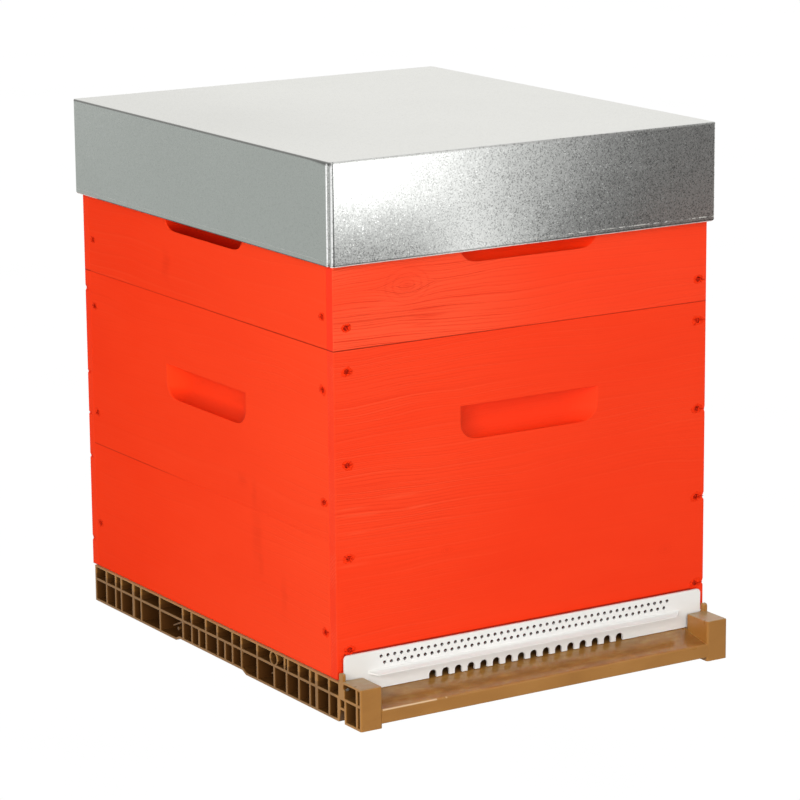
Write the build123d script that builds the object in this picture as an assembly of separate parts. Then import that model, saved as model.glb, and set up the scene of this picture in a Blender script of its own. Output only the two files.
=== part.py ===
from build123d import *
import os

os.makedirs("parts", exist_ok=True)

# ---------------------------------------------------------------------------
# Ten-frame beehive: plastic floor, brood body, honey super, crown board, roof.
# Work space used below (mm): x = 0 at the body's left face, y = 0 at the body's
# front face, z = 0 at the body's underside.  Every piece is moved by TO_FRAME
# when it is written, so that the origin of the part lies on the ground in the
# middle of the overall box, with the front facing -Y and +Z up.
# ---------------------------------------------------------------------------

# --- driving dimensions -----------------------------------------------------
body_w = 430.0            # outside width of both boxes
body_d = 500.0            # outside depth of both boxes
body_h = 317.0            # brood body height
super_h = 170.0           # honey super height
wall_t = 25.0             # board thickness
tongue = 12.0             # part of the end boards that covers the side boards
plank_seam = 133.5        # height of the joint between the two side planks
edge_r = 0.5              # eased outer edges of the boards

rebate_w = wall_t - tongue   # lug rebate, width
rebate_h = 18.0              # lug rebate, depth from the top

grip_w = 159.0            # hand-hold: width
grip_shift = 4.5          # hand-hold: off the middle, to the right seen from outside
grip_h = 34.0             # hand-hold: height
grip_d = 13.0             # hand-hold: depth
grip_r = 41.0             # hand-hold: radius of the run-out at the ends
grip_cove = 17.0          # hand-hold: height of the rounded lower part
body_grip_z = 230.5       # hand-hold: middle height on the brood body
super_grip_z = 85.0       # hand-hold: middle height on the super

screw_head_r = 3.1
screw_r = 2.1
screw_len = 52.0
screw_sunk = 0.9          # heads lie this far under the surface

brood_n = 10
super_n = 9
inner_w = body_w - 2 * wall_t
brood_pitch = inner_w / brood_n
super_pitch = inner_w / super_n
bar_w = 26.0              # width of the top bars
side_w = 25.0             # width of side and bottom bars
bar_len = 472.0           # top bar over the lugs
frame_len = 435.0         # frame over the side bars
lug_t = 10.0
top_t = 20.0
side_t = 10.0
brood_frame_h = 300.0
super_frame_h = 160.0
sheet_metal = 1.0         # notched strips

crown_t = 7.5
crown_gap = 1.0           # crown board is this much smaller on each side
feed_r = 20.0

roof_w = 440.0
roof_d = 512.0
roof_h = 98.0
roof_t = 0.7
hem_h = 4.5

floor_x0 = -2.5           # floor's left face
floor_w = 428.0
floor_y0 = -46.0          # front of the end blocks
floor_y1 = 491.0          # rear face
floor_h = 38.5
rail_w = 25.0
rail_web = 2.6            # inner web of the ribbed side rails
block_w = 23.9
block_y1 = -11.0
block_top = 2.4

floor_x1 = floor_x0 + floor_w
floor_xc = floor_x0 + floor_w / 2
zb = -floor_h
z_super = body_h
z_crown = body_h + super_h
roof_top = z_crown + crown_t + roof_t
roof_bot = roof_top - roof_h
roof_y0 = (body_d - roof_d) / 2
roof_y1 = roof_y0 + roof_d
roof_x0 = (body_w - roof_w) / 2
roof_x1 = roof_x0 + roof_w

TO_FRAME = Pos(-body_w / 2, -(floor_y0 + roof_y1) / 2, floor_h)


# --- helpers ----------------------------------------------------------------
def block(x0, x1, y0, y1, z0, z1):
    return Pos((x0 + x1) / 2, (y0 + y1) / 2, (z0 + z1) / 2) * Box(x1 - x0, y1 - y0, z1 - z0)


def rod(p, direction, radius, length):
    plane = Plane(origin=p, z_dir=direction)
    return plane * Pos(0, 0, length / 2) * Cylinder(radius, length)


def yz_prism(points, x0, x1):
    """Closed polygon of (y, z) points, extruded from x0 to x1."""
    face = make_face(Polyline(*[(x0, y, z) for y, z in points], close=True))
    return extrude(face, amount=x1 - x0, dir=(1, 0, 0))


def xy_prism(points, z0, z1):
    face = make_face(Polyline(*[(x, y, z0) for x, y in points], close=True))
    return extrude(face, amount=z1 - z0, dir=(0, 0, 1))


def xz_prism(points, y0, y1):
    face = make_face(Polyline(*[(x, y0, z) for x, z in points], close=True))
    return extrude(face, amount=y1 - y0, dir=(0, 1, 0))


def mirror_x(shape, xc=body_w / 2):
    return mirror(shape, about=Plane(origin=(xc, 0, 0), z_dir=(1, 0, 0)))


def mirror_y(shape, yc=body_d / 2):
    return mirror(shape, about=Plane(origin=(0, yc, 0), z_dir=(0, 1, 0)))


def solids_of(*shapes):
    out = []
    for s in shapes:
        out.extend(s.solids())
    return out


def near(a, b):
    return abs(a - b) < 1e-4


def line_edges(shape, axis, **where):
    """Straight edges along an axis whose centre has the given coordinates."""
    out = []
    for e in shape.edges().filter_by(axis):
        c = e.center()
        if all(near(getattr(c, k.upper()), v) for k, v in where.items()):
            out.append(e)
    return out


def write(shape, name):
    placed = TO_FRAME * shape
    export_step(placed, "parts/" + name + ".step")


def write_group(solids, name):
    export_step(Compound([TO_FRAME * s for s in solids]), "parts/" + name + ".step")


# --- fasteners --------------------------------------------------------------
def screw_shape():
    """Countersunk wood screw, head in z = 0, shank towards -z, cross recess."""
    head_h = 2.6
    prof = make_face(
        Polyline(
            (0, 0, 0),
            (screw_head_r, 0, 0),
            (screw_head_r, 0, -0.4),
            (screw_r, 0, -head_h),
            (screw_r, 0, -(screw_len - 5.0)),
            (0.3, 0, -screw_len),
            (0, 0, -screw_len),
            close=True,
        )
    )
    return revolve(prof, Axis.Z, 360)


def screw_with_recess():
    s = screw_shape()
    cross = Pos(0, 0, -0.8) * (Box(4.0, 0.9, 1.8) + Box(0.9, 4.0, 1.8))
    return s - cross


def screw_cutter():
    """Space that the screw takes in the wood, with its sinking above the head."""
    return screw_shape() + Pos(0, 0, screw_sunk) * Cylinder(screw_head_r, 2 * screw_sunk)


SCREW = screw_with_recess()
SCREW_CUT = screw_cutter()


def placed_screws(places):
    """places: (point on the surface, inward direction)."""
    screws, cuts = [], []
    for i, (p, d) in enumerate(places):
        turn = (i * 37) % 90
        inner = tuple(a + screw_sunk * b for a, b in zip(p, d))
        plane = Plane(origin=inner, z_dir=tuple(-c for c in d))
        screws.append(plane * Rot(0, 0, turn) * SCREW)
        cuts.append(plane * SCREW_CUT)
    return screws, cuts


def nail(p, direction, radius, length, head_r, head_t):
    """Flat-headed nail: p lies under the head."""
    shank = rod(p, direction, radius, length)
    up = tuple(-c for c in direction)
    return shank + rod(p, up, head_r, head_t)


# --- hand-hold --------------------------------------------------------------
def grip_cutter():
    """Milled hand-hold.  Surface in y = 0, wood towards +y, centre at z = 0."""
    top = grip_h / 2
    low = -grip_h / 2
    mid = low + grip_cove
    r0 = grip_r - grip_d
    run = (grip_r ** 2 - r0 ** 2) ** 0.5
    half = grip_w / 2 - run

    def outline(origin, radial):
        def pt(r, z):
            return (origin[0] + r * radial[0], origin[1] + r * radial[1], z)

        arc_mid = (r0 + grip_d * 0.70710678, mid - grip_cove * 0.70710678)
        curve = Spline(
            pt(grip_r, mid), pt(*arc_mid), pt(r0, low),
            tangents=[(0, 0, -1), (-radial[0], -radial[1], 0)],
        )
        edges = [
            Line(pt(0, low), pt(0, top)),
            Line(pt(0, top), pt(grip_r, top)),
            Line(pt(grip_r, top), pt(grip_r, mid)),
            curve,
            Line(pt(r0, low), pt(0, low)),
        ]
        return make_face(edges)

    left_axis = (-half, -r0, 0)
    right_axis = (half, -r0, 0)
    cut = revolve(outline(left_axis, (0, 1)), Axis(left_axis, (0, 0, 1)), 360)
    cut += revolve(outline(right_axis, (0, 1)), Axis(right_axis, (0, 0, 1)), 360)
    cut += extrude(outline(left_axis, (0, 1)), amount=2 * half, dir=(1, 0, 0))
    return cut


GRIP = grip_cutter()


def grip_front(z):
    return Pos(body_w / 2 + grip_shift, 0, z) * GRIP


def grip_left(z):
    return Pos(0, body_d / 2 - grip_shift, z) * Rot(0, 0, -90) * GRIP


# --- boxes ------------------------------------------------------------------
def end_board(z0, z1, grip_z):
    """Front board: rebated ends for the side boards, lug rebate along the top."""
    b = block(0, body_w, 0, wall_t, z0, z1)
    outer = line_edges(b, Axis.X, y=0) + line_edges(b, Axis.Z, y=0)
    b = fillet(outer, edge_r)
    b -= block(-1, wall_t, tongue, wall_t + 1, z0 - 1, z1 + 1)
    b -= block(body_w - wall_t, body_w + 1, tongue, wall_t + 1, z0 - 1, z1 + 1)
    b -= block(wall_t - 1, body_w - wall_t + 1, tongue, wall_t + 1, z1 - rebate_h, z1 + 1)
    b -= grip_front(grip_z)
    corner = line_edges(b, Axis.Z, x=0, y=tongue) + line_edges(b, Axis.Z, x=body_w, y=tongue)
    return chamfer(corner, 0.35)


def side_board(z0, z1, ease_top=True, ease_bottom=True, tongue_up=False, groove_down=False):
    b = block(0, wall_t, tongue, body_d - tongue, z0, z1)
    edges = []
    if ease_top:
        edges += line_edges(b, Axis.Y, x=0, z=z1)
    if ease_bottom:
        edges += line_edges(b, Axis.Y, x=0, z=z0)
    b = fillet(edges, edge_r)
    seams = [e for e in b.edges().filter_by(Axis.Z) if near(e.center().X, 0)]
    if not ease_top:
        seams += line_edges(b, Axis.Y, x=0, z=z1)
    if not ease_bottom:
        seams += line_edges(b, Axis.Y, x=0, z=z0)
    b = chamfer(seams, 0.18)
    if tongue_up:
        b += block(wall_t / 2 - 4, wall_t / 2 + 4, tongue, body_d - tongue, z1, z1 + 6)
    if groove_down:
        b -= block(wall_t / 2 - 4, wall_t / 2 + 4, tongue - 1, body_d - tongue + 1, z0 - 1, z0 + 6)
    return b


def splinters(x, inward, y0, y1, heights):
    """Bites where the wood split between a screw and the upright edge at x."""
    out = []
    for z, deep, tall in heights:
        h = tall / 2
        rough = [(-1.0, -h - 0.8), (0.1, -h), (0.55, -0.55 * h), (1.0, -0.30 * h), (0.72, -0.02 * h),
                 (0.95, 0.22 * h), (0.45, 0.50 * h), (0.50, 0.68 * h), (0.1, h), (-1.0, h + 0.8)]
        out.append(xz_prism([(x + inward * (deep * a if a > 0 else a), z + b) for a, b in rough], y0, y1))
    return out


def corner_screw_places(z_front, z_side, inset_left=14.0, inset_right=10.0, side_y=20.5):
    """Screws through the end boards into the side boards, and the other way."""
    front, rear, left, right = [], [], [], []
    for z in z_front:
        front += [((inset_left, 0, z), (0, 1, 0)), ((body_w - inset_right, 0, z + 1.5), (0, 1, 0))]
        rear += [((inset_right, body_d, z + 1.5), (0, -1, 0)), ((body_w - inset_left, body_d, z), (0, -1, 0))]
    for zf, zr in z_side:
        left += [((0, side_y, zf), (1, 0, 0)), ((0, body_d - side_y, zr), (1, 0, 0))]
        right += [((body_w, side_y, zr), (-1, 0, 0)), ((body_w, body_d - side_y, zf), (-1, 0, 0))]
    return front, rear, left, right


# screw heights, from the underside of each box
body_front_z = [27.5, 117.0, 207.0, 296.5]
body_side_z = [(42.0, 48.0), (169.0, 168.0), (277.0, 281.0)]
super_front_z = [z_super + 21.0, z_super + 139.0]
super_side_z = [(z_super + 30.0, z_super + 34.0), (z_super + 128.0, z_super + 131.0)]

bf, br, bl, b_r = corner_screw_places(body_front_z, body_side_z)
body_screws, body_cuts = placed_screws(bf + br + bl + b_r)
sf, sr, sl, s_r = corner_screw_places(super_front_z, super_side_z)
super_screws, super_cuts = placed_screws(sf + sr + sl + s_r)


def strip_nails(n, pitch, z_ledge):
    """Nails of one notched strip, between the lugs."""
    gaps = [wall_t + pitch * k for k in range(1, n)]
    pick = [gaps[0], gaps[len(gaps) // 3], gaps[2 * len(gaps) // 3], gaps[-1]]
    front = [nail((x, 18.0, z_ledge + sheet_metal), (0, 0, -1), 0.9, 22.0, 2.2, 0.8) for x in pick]
    return front + [mirror_y(s) for s in front]


def notched_strips(n, pitch, z_ledge, nails):
    """L-shaped strips: lugs lie on the flat leg, teeth between the lugs."""
    x0, x1 = wall_t + 0.5, body_w - wall_t - 0.5
    y1 = wall_t - 0.1
    flat = block(x0, x1, tongue + 0.3, y1, z_ledge, z_ledge + sheet_metal)
    comb = block(x0, x1, y1 - sheet_metal, y1, z_ledge, z_ledge + 9.0)
    slots = []
    for i in range(n):
        xc = wall_t + pitch * (i + 0.5)
        slots.append(block(xc - bar_w / 2 - 0.5, xc + bar_w / 2 + 0.5, y1 - 2, y1 + 1, z_ledge + sheet_metal, z_ledge + 12))
    front = (flat + comb) - slots
    front = front - [s for s in nails if s.center().Y < body_d / 2]
    rear = mirror_y(flat + comb) - [mirror_y(s) for s in slots]
    rear = rear - [s for s in nails if s.center().Y > body_d / 2]
    return solids_of(front, rear)


brood_nails = strip_nails(brood_n, brood_pitch, body_h - rebate_h)
super_nails = strip_nails(super_n, super_pitch, z_super + super_h - rebate_h)

# comb strips low on the end boards of the brood body
spacer_z = 14.0
spacer_nails = []
for x in (wall_t + brood_pitch * 1, wall_t + brood_pitch * 4, wall_t + brood_pitch * 6, wall_t + brood_pitch * 9):
    spacer_nails.append(nail((x, wall_t + sheet_metal, spacer_z + 8), (0, -1, 0), 0.8, 16.0, 1.9, 0.7))
spacer_nails += [mirror_y(s) for s in spacer_nails]


def bottom_spacers():
    strip = block(wall_t + 5, body_w - wall_t - 5, wall_t, wall_t + sheet_metal, spacer_z, spacer_z + 22)
    tabs = []
    for k in range(1, brood_n):
        g = wall_t + brood_pitch * k
        tabs.append(block(g - 4.5, g + 4.5, wall_t, wall_t + 14.0, spacer_z + 21, spacer_z + 22))
    front = strip + tabs
    rear = mirror_y(front)
    return solids_of(front - spacer_nails, rear - spacer_nails)


# brood body walls
front = end_board(0, body_h, body_grip_z)
rear = mirror_y(front)
front = front - splinters(body_w, -1, -1, 6.5, [(29.3, 1.7, 6.4), (118.2, 2.1, 8.2), (207.2, 1.1, 7.0)])
rear = rear - splinters(0, 1, body_d - 7, body_d + 1,
                        [(27.9, 1.4, 6.2), (117.6, 1.4, 5.2), (164.0, 1.3, 3.2), (208.2, 1.3, 3.4), (297.6, 1.6, 6.4)])
write(front - (body_cuts + brood_nails + spacer_nails), "body_front_wall")
write(rear - (body_cuts + brood_nails + spacer_nails), "body_rear_wall")

lower = side_board(0, plank_seam, ease_top=False, tongue_up=True)
upper = side_board(plank_seam, body_h, ease_bottom=False, groove_down=True) - grip_left(body_grip_z)
write(lower - body_cuts, "body_left_lower_plank")
write(upper - body_cuts, "body_left_upper_plank")
write(mirror_x(lower) - body_cuts, "body_right_lower_plank")
write(mirror_x(upper) - body_cuts, "body_right_upper_plank")
write_group(solids_of(*body_screws), "body_corner_screws")

write_group(notched_strips(brood_n, brood_pitch, body_h - rebate_h, brood_nails), "brood_frame_rests")
write_group(solids_of(*brood_nails), "brood_rest_nails")
write_group(bottom_spacers(), "brood_bottom_spacers")
write_group(solids_of(*spacer_nails), "brood_spacer_nails")

# honey super walls
s_front = end_board(z_super, z_super + super_h, z_super + super_grip_z)
s_rear = mirror_y(s_front)
write(s_front - (super_cuts + super_nails), "super_front_wall")
write(s_rear - (super_cuts + super_nails), "super_rear_wall")
s_left = side_board(z_super, z_super + super_h) - grip_left(z_super + super_grip_z)
write(s_left - super_cuts, "super_left_wall")
write(mirror_x(s_left) - super_cuts, "super_right_wall")
write_group(solids_of(*super_screws), "super_corner_screws")
write_group(notched_strips(super_n, super_pitch, z_super + super_h - rebate_h, super_nails), "super_frame_rests")
write_group(solids_of(*super_nails), "super_rest_nails")


# --- frames -----------------------------------------------------------------
def frames(n, pitch, z_top, height, bottom_t, wire_zs):
    """Wired wooden frames that hang on their lugs: top at z_top."""
    y0 = (body_d - frame_len) / 2
    y1 = body_d - y0
    l0 = (body_d - bar_len) / 2
    l1 = body_d - l0
    z_bot = z_top - height
    tops, sides, bottoms, nails, wires, waxes = [], [], [], [], [], []
    for i in range(n):
        xc = wall_t + pitch * (i + 0.5)
        pegs = []
        for y in (y0 + side_t / 2, y1 - side_t / 2):
            pegs.append(nail((xc, y, z_top), (0, 0, -1), 0.8, 45.0, 1.7, 0.6))
            pegs.append(nail((xc, y, z_bot), (0, 0, 1), 0.8, 30.0, 1.7, 0.6))
        threads = [rod((xc + 1.15, y0 + 0.3, z), (0, 1, 0), 0.3, frame_len - 0.6) for z in wire_zs]
        bores = [rod((xc + 1.15, y0 - 1, z), (0, 1, 0), 0.45, frame_len + 2) for z in wire_zs]
        top = yz_prism(
            [(l0, z_top), (l1, z_top), (l1, z_top - lug_t), (y1, z_top - lug_t), (y1, z_top - top_t),
             (y0, z_top - top_t), (y0, z_top - lug_t), (l0, z_top - lug_t)],
            xc - bar_w / 2, xc + bar_w / 2,
        )
        top = chamfer(line_edges(top, Axis.Y, z=z_top), 0.8)
        groove = block(xc - 1.6, xc + 1.6, y0 + side_t + 0.5, y1 - side_t - 0.5, z_top - top_t - 1, z_top - top_t + 5)
        tops.append(top - ([groove] + pegs))
        z_low = z_bot + bottom_t
        for ya in (y0, y1 - side_t):
            bar = block(xc - side_w / 2, xc + side_w / 2, ya, ya + side_t, z_low, z_top - top_t)
            sides.append(bar - (pegs + bores))
        bar = block(xc - side_w / 2, xc + side_w / 2, y0, y1, z_bot, z_low)
        bar = chamfer(line_edges(bar, Axis.Y, z=z_bot), 0.8)
        bottoms.append(bar - pegs)
        nails += pegs
        wires += threads
        waxes.append(block(xc - 0.8, xc + 0.8, y0 + side_t + 1.5, y1 - side_t - 1.5, z_low + 3, z_top - top_t + 3.5))
    return tops, sides, bottoms, nails, wires, waxes


brood_top = body_h - rebate_h + sheet_metal + lug_t
bt, bs, bb, bn, bw, bx = frames(brood_n, brood_pitch, brood_top, brood_frame_h, 10.0,
                                [brood_top - 60, brood_top - 120, brood_top - 180, brood_top - 240])
for solids, name in ((bt, "brood_top_bars"), (bs, "brood_side_bars"), (bb, "brood_bottom_bars"),
                     (bn, "brood_frame_nails"), (bw, "brood_frame_wires"), (bx, "brood_foundation")):
    write_group(solids_of(*solids), name)

super_top = z_super + super_h - rebate_h + sheet_metal + lug_t
st, ss, sb, sn, sw, sx = frames(super_n, super_pitch, super_top, super_frame_h, 8.0,
                                [super_top - 50, super_top - 85, super_top - 120])
for solids, name in ((st, "super_top_bars"), (ss, "super_side_bars"), (sb, "super_bottom_bars"),
                     (sn, "super_frame_nails"), (sw, "super_frame_wires"), (sx, "super_foundation")):
    write_group(solids_of(*solids), name)


# --- crown board ------------------------------------------------------------
mx, my = body_w / 2, body_d / 2
panel = block(crown_gap, body_w - crown_gap, crown_gap, body_d - crown_gap, z_crown, z_crown + crown_t)
panel = chamfer(line_edges(panel, Axis.X, z=z_crown + crown_t) + line_edges(panel, Axis.Y, z=z_crown + crown_t), 0.6)
panel -= Pos(mx, my, z_crown + crown_t / 2) * Cylinder(feed_r, crown_t + 2)
panel -= Pos(mx, my, z_crown + crown_t) * Cylinder(feed_r + 5, 7.0)
write(panel, "crown_board_panel")

plug = Pos(mx, my, z_crown + crown_t - 1.75) * Cylinder(feed_r + 4.6, 3.5)
plug += Pos(mx, my, z_crown + 2.4) * Cylinder(feed_r - 0.4, 3.6)
plug -= Pos(mx, my, z_crown + crown_t) * (Cylinder(8.0, 3.0) - Box(20, 3.2, 4.0))
write(plug, "crown_board_plug")


# --- roof -------------------------------------------------------------------
def fold_corner(solid):
    """Upright edges of a box: the one at the left front, with the widest fold, and the other three."""
    edges = [e for e in solid.edges().filter_by(Axis.Z) if e.length > 20]
    near = [e for e in edges if e.center().X < 30 and e.center().Y < 30]
    return near, [e for e in edges if e not in near and (e.center().X > 30 or e.center().Y > 30)]


def roof():
    """One galvanised sheet: flat top, four skirts, surplus folded in at the corners."""
    t = roof_t
    outer = block(roof_x0, roof_x1, roof_y0, roof_y1, roof_bot, roof_top)
    near, others = fold_corner(outer)
    outer = fillet(near, 2.6)
    near, others = fold_corner(outer)
    outer = fillet(others, 1.7)
    outer = fillet(outer.faces().sort_by(Axis.Z)[-1].edges(), 1.6)
    inner = block(roof_x0 + t, roof_x1 - t, roof_y0 + t, roof_y1 - t, roof_bot - 1, roof_top - t)
    near, others = fold_corner(inner)
    inner = fillet(near, 1.9)
    near, others = fold_corner(inner)
    inner = fillet(others, 1.0)
    inner = fillet(inner.faces().sort_by(Axis.Z)[-1].edges(), 0.9)
    sheet = outer - inner

    # crease of the hem around the skirts
    ring = block(roof_x0 - 1, roof_x1 + 1, roof_y0 - 1, roof_y1 + 1, roof_bot + hem_h, roof_bot + hem_h + 0.6)
    ring -= block(roof_x0 + 0.2, roof_x1 - 0.2, roof_y0 + 0.2, roof_y1 - 0.2, roof_bot, roof_bot + 2 * hem_h)
    sheet -= ring

    # hem folded up inside the skirts
    ha, hb = 12.0, 9.0
    hems = [
        block(roof_x0 + t, roof_x0 + 2 * t, roof_y0 + ha, roof_y1 - ha, roof_bot, roof_bot + hem_h),
        block(roof_x1 - 2 * t, roof_x1 - t, roof_y0 + ha, roof_y1 - ha, roof_bot, roof_bot + hem_h),
        block(roof_x0 + hb, roof_x1 - hb, roof_y0 + t, roof_y0 + 2 * t, roof_bot, roof_bot + hem_h),
        block(roof_x0 + hb, roof_x1 - hb, roof_y1 - 2 * t, roof_y1 - t, roof_bot, roof_bot + hem_h),
    ]
    sheet = sheet + hems

    # corner: both skirts end in a rolled edge, the surplus goes in between them.
    # At the front the end skirt reaches around the corner, at the rear the side skirts do.
    cap = 1.8
    z1 = roof_top - cap + 1.2
    x, y = roof_x0, roof_y0

    def corner(short_end, long_end, r_short, r_long, web_start, side_long):
        """Cut and rolled edges at the left front; side_long: the side skirt is the one that reaches around."""
        def at(a, b):
            return (x + b, y + a) if side_long else (x + a, y + b)
        lo, hi = at(-1, -1), at(long_end, short_end)
        cut = block(lo[0], hi[0], lo[1], hi[1], roof_bot - 1, roof_top - cap)
        h = z1 - roof_bot
        tube_short = Pos(*at(r_short, short_end), (roof_bot + z1) / 2) * (Cylinder(r_short, h) - Cylinder(r_short - t, h + 2))
        tube_long = Pos(*at(long_end, r_long), (roof_bot + z1) / 2) * (Cylinder(r_long, h) - Cylinder(r_long - t, h + 2))
        outline = [at(1.5, web_start), at(2.2, web_start), at(3.7, 6.6), at(3.7, 8.0), at(2.9, 8.0), at(2.9, 6.6)]
        web = xy_prism(outline[::-1] if side_long else outline, roof_bot, z1)
        if side_long:
            flap = xz_prism([(x + short_end, roof_bot + 0.3), (x + short_end + 92, roof_bot + 0.3),
                             (x + short_end, roof_top - 6.0)], y + 2.3, y + 3.7)
        else:
            flap = yz_prism([(y + short_end, roof_bot + 0.3), (y + short_end + 92, roof_bot + 0.3),
                             (y + short_end, roof_top - 6.0)], x + 2.3, x + 3.7)
        return cut, (tube_short + tube_long) + [web, flap]

    cut_fl, fold_fl = corner(8.6, 3.25, 1.6, 2.5, 2.0, False)
    cut_fr, fold_fr = corner(8.6, 1.7, 1.6, 1.6, 2.4, False)
    cut_r, fold_r = corner(8.6, 1.7, 1.6, 1.6, 2.4, True)
    sheet = sheet - [cut_fl, mirror_x(cut_fr), mirror_y(cut_r), mirror_x(mirror_y(cut_r))]
    folds = [fold_fl, mirror_x(fold_fr), mirror_y(fold_r), mirror_x(mirror_y(fold_r))]
    sheet = sheet + [f & outer for f in folds]
    # groove where the roll of the wide fold meets the front skirt
    sheet -= block(x + 3.35, x + 3.8, y - 1, y + 0.3, roof_bot - 1, roof_top - 6.0)
    # lower tip cut off on two opposite corners
    profile = [(1, -1), (1, 4.0), (0, 4.0), (-0.7, 2.0), (-2.2, 0.6), (-4.6, 0), (-4.6, -1)]
    tip_front = xz_prism([(roof_x1 + a, roof_bot + b) for a, b in profile], roof_y0 - 1, roof_y0 + 7.0)
    tip_rear = yz_prism([(roof_y1 + a, roof_bot + b) for a, b in profile], roof_x0 - 1, roof_x0 + 7.0)
    return sheet - [tip_front, tip_rear]


write(roof(), "roof_sheet")


# --- floor ------------------------------------------------------------------
red_x0, red_x1 = 3.4, 421.0    # entrance reducer, stands between the posts
red_xc = 211.6                 # middle of its arches and holes
red_y0 = -8.0                  # front face
red_t = 2.4
red_top = 24.9
red_foot = -12.5               # lower edge, just above the landing board

top_rib = 1.6
z_up = (-13.4, -top_rib)            # cells above the middle rib
z_low = (zb + 2.2, -15.8)           # cells below it
lift = 3.2                          # underside is this much higher in the middle
lift_y = (171.0, 178.0, 307.0, 314.0)
boss_y = 116.0                      # round boss in one upper cell

# ribs: (middle, thickness), from front to rear
ribs_up = [(-38.1, 2.8), (12.1, 2.6), (35.4, 4.4), (47.4, 2.6), (68.4, 2.6), (88.9, 2.2), (95.3, 2.2),
           (148.3, 2.6), (179.7, 2.6), (197.8, 2.6), (228.0, 2.6), (251.5, 2.6), (281.0, 2.6), (299.3, 2.8),
           (348.3, 2.6), (389.0, 2.6), (406.0, 4.4), (432.6, 2.6), (445.2, 2.6), (466.0, 2.6)]
ribs_low = [(-38.1, 2.8), (11.8, 2.6), (35.0, 4.4), (47.4, 2.6), (68.2, 2.6), (91.6, 2.6), (115.4, 2.6),
            (148.3, 2.6), (179.4, 2.6), (197.4, 2.6), (212.6, 2.6), (227.4, 2.6), (251.0, 2.6), (265.8, 2.6),
            (280.6, 2.6), (299.3, 2.8), (348.0, 2.6), (389.0, 2.6), (405.8, 4.4), (432.8, 2.6), (445.6, 2.6), (466.0, 2.6)]


def spans(ribs, y0, y1):
    out, start = [], y0
    for mid, w in ribs:
        if mid - w / 2 > start and mid < y1:
            out.append((start, mid - w / 2))
        if mid + w / 2 > start:
            start = mid + w / 2
    out.append((start, y1))
    return out


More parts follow.
